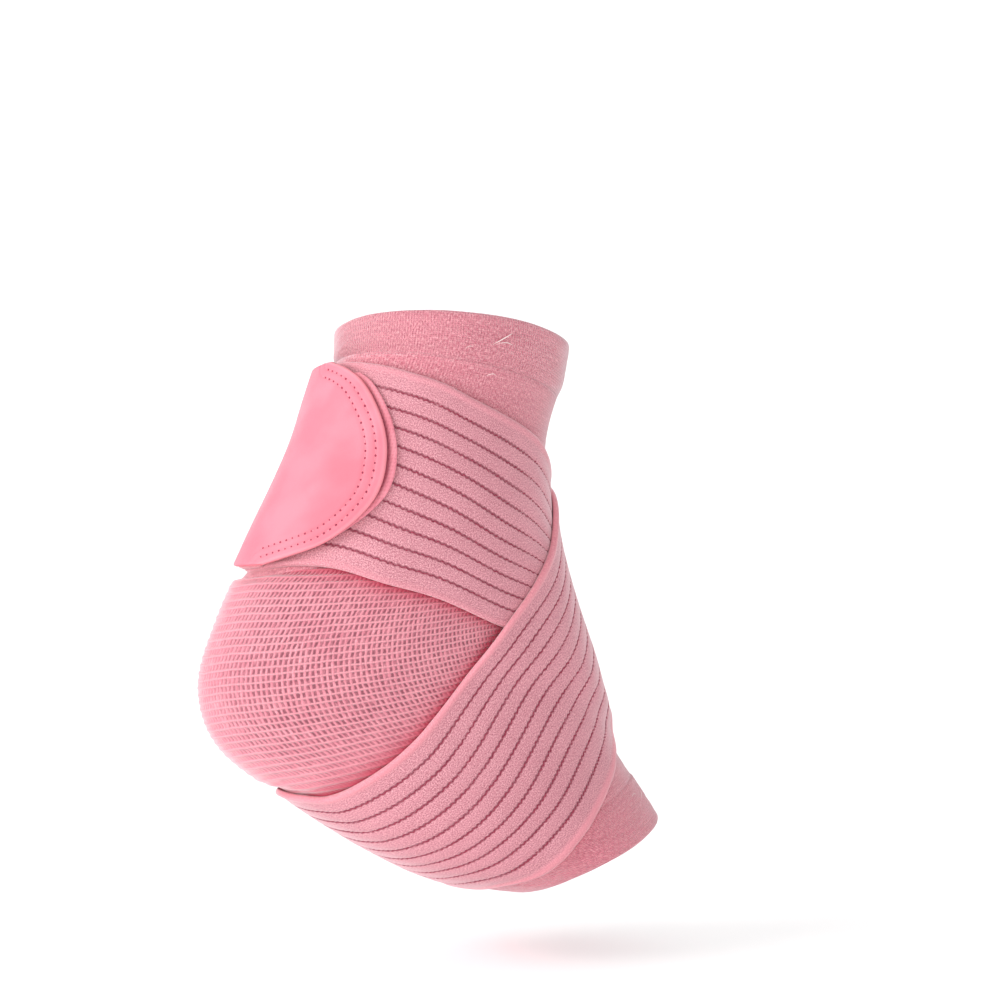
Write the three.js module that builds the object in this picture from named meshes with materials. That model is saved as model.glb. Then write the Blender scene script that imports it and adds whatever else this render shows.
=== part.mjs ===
// Ankle brace: a knitted heel sleeve with two doubled cuffs, and an elastic strap that is wrapped round the ankle
// and the foot in a figure of eight and fastened at the back by a hook tab.
// Millimetres, +X towards the toes, +Y towards the wearer's left, +Z up; the origin is the middle of the ankle.
// The brace fits a left foot whose heel is raised, as it is worn, and its medial side faces -Y.
import * as THREE from "three";

// Driving sizes of the worn brace
const BRACE_RISE = 208; // from the sole's lowest point to the leg rim's highest, along Z
const BRACE_REACH = 169; // from the back of the heel to the front of the foot rim, along X
const ANKLE_WIDTH = 76; // across the ankle bones, along Y

// Sleeve and cuffs
const SLEEVE_WALL = 1.8;
const ANKLE_CUFF_WALL = 2.8;
const ANKLE_CUFF_PROUD = 1.0; // how far the doubled hem stands out from the sleeve
const ANKLE_CUFF_FRONT_DEPTH = 17.5;
const ANKLE_CUFF_BACK_DEPTH = 11.5;
const FOOT_CUFF_WALL = 2.6;
const FOOT_CUFF_DEPTH = 14;

// Strap, hook backing and tab
const STRAP_WIDTH = 75;
const STRAP_THICKNESS = 1.8;
const BACKING_THICKNESS = 1.2;
const BACKING_SHOWS = 2.6; // how far the hook backing shows past the tab's round edge
const TAB_THICKNESS = 1.5;
const TAB_LENGTH = 52.5; // from the tab's straight edge to its round tip

// Clearance between pieces that lie on or beside each other
const LAYER_GAP = 0.4;

// Places round the brace, in degrees: the front line is 0, the medial side 90, the back line 180
const STRAP_START_ANGLE = 210; // the sewn start, hidden under the last turn
const STRAP_END_ANGLE = 150; // the free end, under the tab
const TAB_BACK_ANGLE = 186; // the tab's straight edge
const TAB_STEP_CLEAR = 10; // the tab has stepped up this far before it reaches the strap's free end
const TAB_STEP_RUN = 15; // and takes this much of a turn to do it

// Fineness of the faceted solids
const RING_STEPS = 48;
const SLEEVE_ROWS = 18;
const CUFF_ROWS = 3;
const STRAP_LANES = 8;
const TAB_ROWS = 13;
const TAB_LANES = 9;
const RING_DEGREES = 360 / RING_STEPS;

// Cross sections of the sleeve's outer face, from the leg rim (along 0) to the foot rim (along 1). Out and up place
// the front and back points, as shares of the reach and the rise; half and lift are shares of the ankle's width.
// Egg widens a section towards its front, square flattens it towards the sole, and lift raises its medial half.
const SECTION_COLUMNS = ["along", "frontOut", "frontUp", "backOut", "backUp", "half", "egg", "square", "lift"];
const SECTIONS = tableOf(SECTION_COLUMNS, [
  [0.0, 0.339, 0.414, -0.149, 0.454, 0.46, 0.0, 2.0, 0.112],
  [0.06, 0.324, 0.346, -0.157, 0.388, 0.454, 0.02, 2.0, 0.105],
  [0.15, 0.295, 0.26, -0.206, 0.298, 0.454, 0.05, 2.0, 0.086],
  [0.25, 0.29, 0.173, -0.27, 0.194, 0.474, 0.1, 2.0, 0.066],
  [0.35, 0.299, 0.09, -0.346, 0.078, 0.493, 0.16, 2.0, 0.04],
  [0.45, 0.321, 0.021, -0.412, -0.035, 0.5, 0.2, 2.0, 0.013],
  [0.55, 0.346, -0.042, -0.454, -0.156, 0.5, 0.22, 2.0, 0.0],
  [0.65, 0.377, -0.111, -0.408, -0.263, 0.493, 0.16, 2.1, 0.0],
  [0.75, 0.403, -0.182, -0.257, -0.357, 0.493, 0.05, 2.3, 0.0],
  [0.85, 0.434, -0.256, -0.089, -0.443, 0.5, -0.04, 2.5, 0.0],
  [0.94, 0.488, -0.329, 0.067, -0.5, 0.513, -0.08, 2.6, 0.026],
  [1.0, 0.545, -0.4, 0.226, -0.523, 0.52, -0.1, 2.6, 0.04],
]);

// The strap's way from the back line (turned 0) over the side (90), the front (180) and the other side (270) to the
// sole (360). Middle is a share of the way along the sleeve; spread is half of what the strap covers there, for a
// strap as wide as the brace's rise. The first turn goes this way on the medial side and the second one, from the
// sole back to the back line, goes it on the lateral side, so one table serves both.
const ROUTE_COLUMNS = ["turned", "middle", "spread"];
const ROUTE = tableOf(ROUTE_COLUMNS, [
  [0, 0.2215, 0.434],
  [15, 0.2225, 0.431],
  [40, 0.228, 0.416],
  [60, 0.24, 0.41],
  [80, 0.264, 0.433],
  [100, 0.2955, 0.451],
  [120, 0.339, 0.516],
  [145, 0.395, 0.596],
  [180, 0.5175, 0.756],
  [195, 0.57, 0.776],
  [212, 0.6325, 0.7],
  [233, 0.6995, 0.603],
  [251, 0.76, 0.499],
  [265, 0.799, 0.427],
  [280, 0.83, 0.374],
  [300, 0.85, 0.338],
  [325, 0.855, 0.305],
  [340, 0.8505, 0.312],
  [360, 0.84, 0.305],
]);

// The tab's round edge: down is a share of the strap's width, reach a share of the tab's length, and shows the share
// of the backing's margin that shows there; below zero the backing's edge lies under the tab.
const TAB_COLUMNS = ["down", "reach", "shows"];
const TAB_EDGE = tableOf(TAB_COLUMNS, [
  [0.03, 0.33, 0.3],
  [0.07, 0.48, 0.6],
  [0.14, 0.64, 0.9],
  [0.28, 0.815, 1.0],
  [0.43, 0.93, 1.0],
  [0.58, 0.985, 1.0],
  [0.7, 0.99, 0.8],
  [0.79, 0.95, 0.3],
  [0.87, 0.875, -0.3],
  [0.93, 0.77, -0.8],
  [0.97, 0.61, -0.8],
  [1.0, 0.42, -0.8],
]);

// The hook backing's upper and lower edge, as shares of the strap's width
const BACKING_TOP = 0.09;
const BACKING_BOTTOM = 0.94;

// How a strap tents over an edge beneath it, in shares of the way along the sleeve
const TENT_FULL = 0.11; // up to this far past the edge the strap keeps its full height
const STRAP_TENT_FALL = 0.06; // over this stretch it comes down from the first turn
const CUFF_TENT_FALL = 0.12; // and over this one from the thinner cuff
const DEGREE_SHARE = 0.0035; // the share of the way that one degree round the back matches

function tableOf(columns, rows) {
  return rows.map((row) => Object.fromEntries(columns.map((name, k) => [name, row[k]])));
}

// A smooth curve through one column of a table, read at a value of its first column. Its ends are level where
// level is true, as a route that mirrors itself there needs.
function curveOf(table, key, name, level = false) {
  const at = table.map((row) => row[key]);
  const to = table.map((row) => row[name]);
  const last = at.length - 1;
  const slope = at.map((_, k) => {
    if (level && (k === 0 || k === last)) return 0;
    const a = Math.max(k - 1, 0);
    const b = Math.min(k + 1, last);
    return (to[b] - to[a]) / (at[b] - at[a]);
  });
  return (value) => {
    const x = Math.min(Math.max(value, at[0]), at[last]);
    let k = 0;
    while (k < last - 1 && x > at[k + 1]) k += 1;
    const span = at[k + 1] - at[k];
    const t = (x - at[k]) / span;
    const fromStart = (2 * t ** 3 - 3 * t ** 2 + 1) * to[k] + (t ** 3 - 2 * t ** 2 + t) * span * slope[k];
    const fromEnd = (3 * t ** 2 - 2 * t ** 3) * to[k + 1] + (t ** 3 - t ** 2) * span * slope[k + 1];
    return fromStart + fromEnd;
  };
}

const lerp = (a, b, t) => a + (b - a) * t;
const clamp01 = (t) => Math.min(Math.max(t, 0), 1);
const signedPower = (value, power) => Math.sign(value) * Math.abs(value) ** power;

const section = Object.fromEntries(
  SECTION_COLUMNS.slice(1).map((name) => [name, curveOf(SECTIONS, "along", name)]),
);
const route = Object.fromEntries(
  ROUTE_COLUMNS.slice(1).map((name) => [name, curveOf(ROUTE, "turned", name, true)]),
);
const tabEdge = Object.fromEntries(
  TAB_COLUMNS.slice(1).map((name) => [name, curveOf(TAB_EDGE, "down", name)]),
);

// A point of the sleeve's outer face. Each section is a round in a plane that fans about the front of the ankle.
function skinPoint(along, degrees) {
  const turn = THREE.MathUtils.degToRad(degrees);
  const frontX = section.frontOut(along) * BRACE_REACH;
  const frontZ = section.frontUp(along) * BRACE_RISE;
  const backX = section.backOut(along) * BRACE_REACH;
  const backZ = section.backUp(along) * BRACE_RISE;
  const soleward = ((1 - Math.cos(turn)) / 2) ** 2;
  const power = 2 / lerp(2, section.square(along), soleward);
  const forward = signedPower(Math.cos(turn), power);
  const sideways = signedPower(Math.sin(turn), power) * (1 + section.egg(along) * Math.cos(turn));
  const depth = Math.hypot(frontX - backX, frontZ - backZ);
  const lift = section.lift(along) * ANKLE_WIDTH * sideways;
  return new THREE.Vector3(
    lerp(backX, frontX, (1 + forward) / 2) + ((backZ - frontZ) / depth) * lift,
    -section.half(along) * ANKLE_WIDTH * sideways,
    lerp(backZ, frontZ, (1 + forward) / 2) + ((frontX - backX) / depth) * lift,
  );
}

// The way out from the sleeve's outer face
function skinNormal(along, degrees) {
  const step = 1e-3;
  const low = Math.max(along - step, 0);
  const high = Math.min(along + step, 1);
  const down = skinPoint(high, degrees).sub(skinPoint(low, degrees));
  const round = skinPoint(along, degrees + step).sub(skinPoint(along, degrees - step));
  return round.cross(down).normalize();
}

// A point that stands a height off the sleeve's outer face
function offSkin(along, degrees, height) {
  return skinPoint(along, degrees).addScaledVector(skinNormal(along, degrees), height);
}

// A closed wall between an outer and an inner grid of points. pointAt(row, lane, isOuter) gives them, with lanes
// that run on round the brace; a ring closes on itself, and a patch has its two ends closed as well.
function wallGeometry(rows, lanes, isRing, pointAt) {
  const perRow = isRing ? lanes : lanes + 1;
  const half = (rows + 1) * perRow;
  const positions = [];
  for (const isOuter of [true, false]) {
    for (let i = 0; i <= rows; i += 1) {
      for (let j = 0; j < perRow; j += 1) {
        positions.push(...pointAt(i, j, isOuter).toArray());
      }
    }
  }
  const outer = (i, j) => i * perRow + (j % perRow);
  const inner = (i, j) => half + outer(i, j);
  const triangles = [];
  const quad = (a, b, c, d) => triangles.push(a, b, d, b, c, d);
  for (let i = 0; i < rows; i += 1) {
    for (let j = 0; j < lanes; j += 1) {
      quad(outer(i, j), outer(i, j + 1), outer(i + 1, j + 1), outer(i + 1, j));
      quad(inner(i, j), inner(i + 1, j), inner(i + 1, j + 1), inner(i, j + 1));
    }
  }
  for (let j = 0; j < lanes; j += 1) {
    quad(outer(0, j + 1), outer(0, j), inner(0, j), inner(0, j + 1));
    quad(outer(rows, j), outer(rows, j + 1), inner(rows, j + 1), inner(rows, j));
  }
  for (let i = 0; i < rows && !isRing; i += 1) {
    quad(outer(i, 0), outer(i + 1, 0), inner(i + 1, 0), inner(i, 0));
    quad(outer(i + 1, lanes), outer(i, lanes), inner(i, lanes), inner(i + 1, lanes));
  }
  const geometry = new THREE.BufferGeometry();
  geometry.setAttribute("position", new THREE.Float32BufferAttribute(positions, 3));
  geometry.setIndex(triangles);
  geometry.computeVertexNormals();
  return geometry;
}

// A knitted ring between two edges, each a share of the way along for every place round the brace
function knitRing(rows, startAt, endAt, outside, inside) {
  return wallGeometry(rows, RING_STEPS, true, (i, j, isOuter) => {
    const degrees = j * RING_DEGREES;
    const along = lerp(startAt(degrees), endAt(degrees), i / rows);
    return offSkin(along, degrees, isOuter ? outside : inside);
  });
}

// Edges of the cuffs, as shares of the way along the sleeve
const shareOf = (length) => length / BRACE_RISE;
const gapShare = shareOf(LAYER_GAP);
const legRim = () => 0;
const footRim = () => 1;
const ankleHem = (degrees) => {
  const frontward = (1 + Math.cos(THREE.MathUtils.degToRad(degrees))) / 2;
  return shareOf(lerp(ANKLE_CUFF_BACK_DEPTH, ANKLE_CUFF_FRONT_DEPTH, frontward));
};
const footHem = () => 1 - shareOf(FOOT_CUFF_DEPTH);

const ankleCuff = () =>
  knitRing(CUFF_ROWS, legRim, ankleHem, ANKLE_CUFF_PROUD, ANKLE_CUFF_PROUD - ANKLE_CUFF_WALL);
const heelSleeve = () =>
  knitRing(
    SLEEVE_ROWS,
    (degrees) => ankleHem(degrees) + gapShare,
    (degrees) => footHem(degrees) - gapShare,
    0,
    -SLEEVE_WALL,
  );
const footCuff = () => knitRing(CUFF_ROWS, footHem, footRim, 0, -FOOT_CUFF_WALL);

// The strap's upper and lower edge where the route has turned so far from the back line
function strapEdges(turned) {
  const spread = route.spread(Math.abs(turned)) * shareOf(STRAP_WIDTH);
  const middle = route.middle(Math.abs(turned));
  return { upper: middle - spread, lower: middle + spread };
}

// What a strap keeps of a step's height at a distance past the step's edge
function tent(distance, fall) {
  const fallen = clamp01((distance - TENT_FULL) / fall);
  return 1 - fallen ** 2 * (3 - 2 * fallen);
}

// How far above the sleeve the first turn lies: on the knit, or on the doubled cuff
function firstTurnHeight(along, degrees) {
  return LAYER_GAP + ANKLE_CUFF_PROUD * tent(along - ankleHem(degrees), CUFF_TENT_FALL);
}

// How far a place on the second turn lies from the first turn, which it crosses at the front and covers at the back
function pastFirstTurn(along, turned) {
  const crossed = strapEdges(360 - turned);
  const across = Math.max(crossed.upper - along, along - crossed.lower, 0);
  const pastStart = Math.max(turned - (STRAP_START_ANGLE - 180), 0) * DEGREE_SHARE;
  return Math.min(across, pastStart);
}

// How far above the sleeve the second turn lies: on the first turn where it covers it, otherwise on the knit
function secondTurnHeight(along, degrees, turned) {
  const step = STRAP_THICKNESS + LAYER_GAP;
  return firstTurnHeight(along, degrees) + step * tent(pastFirstTurn(along, turned), STRAP_TENT_FALL);
}

function wrapStrap() {
  const firstSteps = Math.round((STRAP_START_ANGLE + 180) / RING_DEGREES);
  const secondSteps = Math.round((540 - STRAP_END_ANGLE) / RING_DEGREES);
  return wallGeometry(firstSteps + secondSteps, STRAP_LANES, false, (i, j, isOuter) => {
    const isFirst = i <= firstSteps;
    const degrees = STRAP_START_ANGLE - i * RING_DEGREES;
    const turned = isFirst ? 180 - degrees : 540 + degrees;
    const { upper, lower } = strapEdges(turned);
    const along = lerp(upper, lower, j / STRAP_LANES);
    const height = isFirst ? firstTurnHeight(along, degrees) : secondTurnHeight(along, degrees, turned);
    return offSkin(along, degrees, height + (isOuter ? STRAP_THICKNESS : 0));
  });
}

// Degrees round the tab's stretch of the brace that one millimetre takes
function degreesPerMillimetre() {
  const { upper, lower } = strapEdges(0);
  const ring = [];
  for (let k = 0; k <= RING_STEPS; k += 1) ring.push(skinPoint((upper + lower) / 2, k * RING_DEGREES));
  let girth = 0;
  for (let k = 0; k < RING_STEPS; k += 1) girth += ring[k].distanceTo(ring[k + 1]);
  return 360 / girth;
}
const DEGREES_PER_MM = degreesPerMillimetre();

// A patch over the strap's end, from the tab's round edge to a straight one at a given angle
function tabPatch(top, bottom, straightAt, edgeMargin, heightAt, thickness) {
  const { upper, lower } = strapEdges(0);
  return wallGeometry(TAB_ROWS, TAB_LANES, false, (i, j, isOuter) => {
    const down = lerp(top, bottom, (1 - Math.cos((Math.PI * i) / TAB_ROWS)) / 2); // closer rows at the corners
    const reach = tabEdge.reach(down) * TAB_LENGTH + tabEdge.shows(down) * edgeMargin;
    const roundAt = TAB_BACK_ANGLE - reach * DEGREES_PER_MM;
    const degrees = lerp(roundAt, straightAt, j / TAB_LANES);
    const along = lerp(upper, lower, down);
    return offSkin(along, degrees, heightAt(along, degrees) + (isOuter ? thickness : 0));
  });
}

// The backing starts beside the strap's free end, and both lie on the first turn
const BACKING_START_ANGLE = STRAP_END_ANGLE - 2 * LAYER_GAP * DEGREES_PER_MM;
const backingHeight = (along, degrees) => firstTurnHeight(along, degrees) + STRAP_THICKNESS + LAYER_GAP;
const tabBacking = () =>
  tabPatch(
    BACKING_TOP,
    BACKING_BOTTOM,
    BACKING_START_ANGLE,
    BACKING_SHOWS,
    backingHeight,
    BACKING_THICKNESS,
  );

// The tab lies on the backing, and steps up on to the strap's end behind it
function tabHeight(along, degrees) {
  const stepEnds = STRAP_END_ANGLE - TAB_STEP_CLEAR;
  const onStrap = clamp01((degrees - (stepEnds - TAB_STEP_RUN)) / TAB_STEP_RUN);
  const beneath = lerp(BACKING_THICKNESS, STRAP_THICKNESS, onStrap);
  return backingHeight(along, degrees) + beneath + LAYER_GAP;
}
const TAB_TOP = TAB_EDGE[0].down;
const TAB_BOTTOM = TAB_EDGE[TAB_EDGE.length - 1].down;
const strapTab = () => tabPatch(TAB_TOP, TAB_BOTTOM, TAB_BACK_ANGLE, 0, tabHeight, TAB_THICKNESS);

function piece(name, geometry, colour, roughness) {
  const material = new THREE.MeshStandardMaterial({ color: colour, roughness, metalness: 0 });
  const mesh = new THREE.Mesh(geometry, material);
  mesh.name = name;
  return mesh;
}

const sleeve = new THREE.Group();
sleeve.add(piece("ankle_cuff", ankleCuff(), 0xe6909d, 0.95));
sleeve.add(piece("heel_sleeve", heelSleeve(), 0xe1919e, 0.95));
sleeve.add(piece("foot_cuff", footCuff(), 0xe58695, 0.95));

const strap = new THREE.Group();
strap.add(piece("wrap_strap", wrapStrap(), 0xd58c98, 0.9));
strap.add(piece("tab_backing", tabBacking(), 0xe58a98, 0.85));
strap.add(piece("strap_tab", strapTab(), 0xfca7b5, 0.5));

const brace = new THREE.Group();
brace.add(sleeve, strap);

export default brace;
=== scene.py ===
# %% [markdown]
# # Ankle brace
# A knitted tube holds the heel and the ankle, and a broad elastic strap crosses over it in a figure of
# eight. The strap's free end is a padded satin tab with hook tape beneath. Everything is soft cloth under
# tension, so each piece is a thin layer on one smooth tube: the tube is worked out once, and every
# piece is laid on it.

# %% Start
import math

import bmesh
import bpy
import numpy as np
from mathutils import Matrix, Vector


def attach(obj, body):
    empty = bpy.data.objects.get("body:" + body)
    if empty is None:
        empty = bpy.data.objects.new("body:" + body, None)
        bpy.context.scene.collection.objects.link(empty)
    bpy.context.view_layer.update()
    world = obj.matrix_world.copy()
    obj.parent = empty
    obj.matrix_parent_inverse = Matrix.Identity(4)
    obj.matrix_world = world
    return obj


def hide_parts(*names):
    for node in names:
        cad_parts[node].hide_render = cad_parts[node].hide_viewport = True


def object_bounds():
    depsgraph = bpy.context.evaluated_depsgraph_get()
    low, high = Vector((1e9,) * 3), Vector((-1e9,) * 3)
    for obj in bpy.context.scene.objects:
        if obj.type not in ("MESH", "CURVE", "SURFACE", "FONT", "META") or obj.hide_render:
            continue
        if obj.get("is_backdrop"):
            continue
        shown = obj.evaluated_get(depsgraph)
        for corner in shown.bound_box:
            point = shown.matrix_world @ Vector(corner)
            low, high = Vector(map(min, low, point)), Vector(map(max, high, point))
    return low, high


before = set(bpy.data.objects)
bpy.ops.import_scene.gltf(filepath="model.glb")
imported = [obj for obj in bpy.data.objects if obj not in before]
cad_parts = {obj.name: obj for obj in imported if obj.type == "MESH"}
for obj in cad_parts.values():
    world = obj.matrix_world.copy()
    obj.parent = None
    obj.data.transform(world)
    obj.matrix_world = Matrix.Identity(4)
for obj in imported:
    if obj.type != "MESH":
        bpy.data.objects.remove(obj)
cad_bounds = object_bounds()
scene = bpy.context.scene
MM = 0.001
print("nodes:", sorted(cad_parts))

# %% [markdown]
# ## Camera
# The photograph looks at the brace's inner side, a little from behind and from just above its middle. A
# long lens keeps the near and far rims almost equal in size, as it does in the picture.

# %% Camera
CAMERA_AZIMUTH = math.radians(-16)
CAMERA_ELEVATION = math.radians(2)
CAMERA_DISTANCE = 1.1
CAMERA_AIM = Vector((0.0337, 0, 0.0324))
CAMERA_LENS = 110

away = Vector((
    math.sin(CAMERA_AZIMUTH) * math.cos(CAMERA_ELEVATION),
    -math.cos(CAMERA_AZIMUTH) * math.cos(CAMERA_ELEVATION),
    math.sin(CAMERA_ELEVATION),
))
camera = bpy.data.objects.new("camera", bpy.data.cameras.new("camera"))
scene.collection.objects.link(camera)
scene.camera = camera
camera.data.lens = CAMERA_LENS
camera.data.clip_end = 20
camera.location = CAMERA_AIM + away * CAMERA_DISTANCE
camera.rotation_euler = (-away).to_track_quat("-Z", "Y").to_euler()
print("camera at", tuple(round(c, 3) for c in camera.location))

# %% [markdown]
# ## The tube under every piece
# The worn brace is a bent tube. Its cross sections are rounds whose planes fan about the front of the
# bend, so a short table of sections, read through smooth curves, gives the whole form. `along` runs from
# the top rim, 0, to the lower rim, 1, and the angle runs from the front, 0, over the inner side, 90, to
# the back, 180. A sculpted mesh could give this form too, but a rule lets every later piece lie on it at
# an exact height.

# %% Sizes
RISE = 208 * MM
REACH = 169 * MM
ANKLE_WIDTH = 76 * MM
SLEEVE_WALL = 1.8 * MM
CUFF_WALL = 2.8 * MM
CUFF_PROUD = 1.0 * MM
CUFF_FRONT_DEPTH = 17.5 * MM
CUFF_BACK_DEPTH = 11.5 * MM
FOOT_CUFF_WALL = 2.6 * MM
FOOT_CUFF_DEPTH = 14 * MM
STRAP_WIDTH = 75 * MM
STRAP_THICKNESS = 1.8 * MM
BACKING_THICKNESS = 1.2 * MM
TAB_THICKNESS = 1.5 * MM
TAB_LENGTH = 52.5 * MM
BACKING_SHOWS = 2.6 * MM
LAYER_GAP = 0.4 * MM
STRAP_START, STRAP_END, TAB_BACK = 210, 150, 186
print("rise, reach and width in mm:", RISE / MM, REACH / MM, ANKLE_WIDTH / MM)

# %% Sections of the tube, as shares of its rise, reach and width
SECTIONS = {
    "along": (0.0, 0.06, 0.15, 0.25, 0.35, 0.45, 0.55, 0.65, 0.75, 0.85, 0.94, 1.0),
    "front_out": (0.339, 0.324, 0.295, 0.29, 0.299, 0.321, 0.346, 0.377, 0.403, 0.434, 0.488, 0.545),
    "front_up": (0.414, 0.346, 0.26, 0.173, 0.09, 0.021, -0.042, -0.111, -0.182, -0.256, -0.329, -0.4),
    "back_out": (-0.149, -0.157, -0.206, -0.27, -0.346, -0.412, -0.454, -0.408, -0.257, -0.089, 0.067, 0.226),
    "back_up": (0.454, 0.388, 0.298, 0.194, 0.078, -0.035, -0.156, -0.263, -0.357, -0.443, -0.5, -0.523),
    "half": (0.46, 0.454, 0.454, 0.474, 0.493, 0.5, 0.5, 0.493, 0.493, 0.5, 0.513, 0.52),
    "egg": (0.0, 0.02, 0.05, 0.1, 0.16, 0.2, 0.22, 0.16, 0.05, -0.04, -0.08, -0.1),
    "square": (2.0, 2.0, 2.0, 2.0, 2.0, 2.0, 2.0, 2.1, 2.3, 2.5, 2.6, 2.6),
    "lift": (0.112, 0.105, 0.086, 0.066, 0.04, 0.013, 0.0, 0.0, 0.0, 0.0, 0.026, 0.04),
}

# %% The strap's way, by degrees turned from the back, and the tab's outline
ROUTE = {
    "turned": (0, 15, 40, 60, 80, 100, 120, 145, 180, 195, 212, 233, 251, 265, 280, 300, 325, 340, 360),
    "middle": (0.2215, 0.2225, 0.228, 0.24, 0.264, 0.2955, 0.339, 0.395, 0.5175, 0.57, 0.6325, 0.6995, 0.76,
               0.799, 0.83, 0.85, 0.855, 0.8505, 0.84),
    "spread": (0.434, 0.431, 0.416, 0.41, 0.433, 0.451, 0.516, 0.596, 0.756, 0.776, 0.7, 0.603, 0.499,
               0.427, 0.374, 0.338, 0.305, 0.312, 0.305),
}
TAB_EDGE = {
    "down": (0.03, 0.07, 0.14, 0.28, 0.43, 0.58, 0.7, 0.79, 0.87, 0.93, 0.97, 1.0),
    "reach": (0.33, 0.48, 0.64, 0.815, 0.93, 0.985, 0.99, 0.95, 0.875, 0.77, 0.61, 0.42),
    "shows": (0.3, 0.6, 0.9, 1.0, 1.0, 1.0, 0.8, 0.3, -0.3, -0.8, -0.8, -0.8),
}

# %% [markdown]
# ## Smooth reading of the tables
# A cloth under tension has no corners, so the values between the table's rows come from cubic curves,
# whose slope at each row is that between its neighbours. `level` lets a closed way meet its own mirror
# image without a kink.

# %% Curves through the tables
def curve_of(table, key, name, level=False):
    """A smooth curve through one column of a table, read at values of its key column."""
    at, to = np.array(table[key], float), np.array(table[name], float)
    slope = np.empty_like(to)
    slope[1:-1] = (to[2:] - to[:-2]) / (at[2:] - at[:-2])
    slope[0] = 0 if level else (to[1] - to[0]) / (at[1] - at[0])
    slope[-1] = 0 if level else (to[-1] - to[-2]) / (at[-1] - at[-2])

    def read(value):
        x = np.clip(value, at[0], at[-1])
        k = np.clip(np.searchsorted(at, x, side="right") - 1, 0, len(at) - 2)
        span = at[k + 1] - at[k]
        t = (x - at[k]) / span
        start = (2 * t**3 - 3 * t**2 + 1) * to[k] + (t**3 - 2 * t**2 + t) * span * slope[k]
        end = (3 * t**2 - 2 * t**3) * to[k + 1] + (t**3 - t**2) * span * slope[k + 1]
        return start + end

    return read


section = {name: curve_of(SECTIONS, "along", name) for name in SECTIONS if name != "along"}
route = {name: curve_of(ROUTE, "turned", name, level=True) for name in ("middle", "spread")}
tab_edge = {name: curve_of(TAB_EDGE, "down", name) for name in ("reach", "shows")}
print("half width of the middle section:", round(float(section["half"](0.5) * ANKLE_WIDTH), 4))


# %% Small helpers
def signed_power(value, power):
    return np.sign(value) * np.abs(value) ** power


def lerp(a, b, t):
    return a + (b - a) * t


def smooth(t):
    t = np.clip(t, 0, 1)
    return t * t * (3 - 2 * t)


def strap_edges(turned):
    """The strap's upper and lower edge, as shares along the tube."""
    spread = route["spread"](np.abs(turned)) * STRAP_WIDTH / RISE
    middle = route["middle"](np.abs(turned))
    return middle - spread, middle + spread


def past_edges(along, upper, lower):
    """How far a place lies above the upper or below the lower edge, and 0 between them."""
    return np.maximum(np.maximum(upper - along, along - lower), 0)


# %% [markdown]
# ## The squeeze
# A tight strap sinks into what it holds. At the back the knit bulges out below the strap's lower edge, so
# the tube is drawn in under the strap there, most at that edge, and the draw fades towards both sides and
# the top rim.

# %% Squeeze
SQUEEZE_HIGH_MM = (1.6, 4.6)
SQUEEZE_LOW_MM = (2.2, 1.4)
SQUEEZE_FADE = 0.024
SQUEEZE_BACK, SQUEEZE_BACK_FADE = 25, 60
SQUEEZE_TOP, SQUEEZE_TOP_FADE = 0.03, 0.2


def squeeze(along, degrees):
    """How deep the strap draws the knit in, in metres: most at the back, under its lower edge."""
    degrees = np.mod(degrees, 360)
    turned = np.mod(180 - degrees, 360)
    from_back = np.abs(degrees - 180)
    depth = 0
    for upper, lower in (strap_edges(turned), strap_edges(360 - turned)):
        share = np.clip((along - upper) / np.maximum(lower - upper, 1e-6), 0, 1)
        is_high = (upper + lower) / 2 < 0.5
        deep = np.where(is_high, lerp(*SQUEEZE_HIGH_MM, share), lerp(*SQUEEZE_LOW_MM, share))
        near = 1 - smooth(past_edges(along, upper, lower) / SQUEEZE_FADE)
        depth = np.maximum(depth, near * deep)
    at_back = 1 - smooth((from_back - SQUEEZE_BACK) / SQUEEZE_BACK_FADE)
    return depth * at_back * MM * smooth((along - SQUEEZE_TOP) / SQUEEZE_TOP_FADE)


# %% [markdown]
# ## Points and heights on the tube
# Every piece asks for the same three things: a point of the bare tube, the point after the squeeze, and
# the way out of the cloth there. A height along the way out then gives each layer its own place, so
# layers can't cross.

# %% Points of the tube
def bare_point(along, degrees):
    """Points of the smooth tube, in metres."""
    turn = np.radians(degrees)
    front_x, back_x = section["front_out"](along) * REACH, section["back_out"](along) * REACH
    front_z, back_z = section["front_up"](along) * RISE, section["back_up"](along) * RISE
    power = 2 / lerp(2, section["square"](along), ((1 - np.cos(turn)) / 2) ** 2)
    forward = signed_power(np.cos(turn), power)
    sideways = signed_power(np.sin(turn), power) * (1 + section["egg"](along) * np.cos(turn))
    depth = np.hypot(front_x - back_x, front_z - back_z)
    lift = section["lift"](along) * ANKLE_WIDTH * sideways
    x = lerp(back_x, front_x, (1 + forward) / 2) + (back_z - front_z) / depth * lift
    z = lerp(back_z, front_z, (1 + forward) / 2) + (front_x - back_x) / depth * lift
    return np.stack([x, -section["half"](along) * ANKLE_WIDTH * sideways, z], -1)


def way_out(point, along, degrees):
    """The unit normal of a surface given by a function of along and degrees."""
    step = 1e-3
    low, high = np.maximum(along - step, 0), np.minimum(along + step, 1)
    down = point(high, degrees) - point(low, degrees)
    round_it = point(along, degrees + step * 50) - point(along, degrees - step * 50)
    out = np.cross(round_it, down)
    return out / np.linalg.norm(out, axis=-1, keepdims=True)


def sleeve_point(along, degrees):
    """Points of the sleeve's outer face, with the strap's squeeze in it."""
    along, degrees = np.broadcast_arrays(along, degrees)
    pulled = squeeze(along, degrees)[..., None]
    return bare_point(along, degrees) - way_out(bare_point, along, degrees) * pulled


def sleeve_normal(along, degrees):
    return way_out(sleeve_point, along, degrees)


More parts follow.
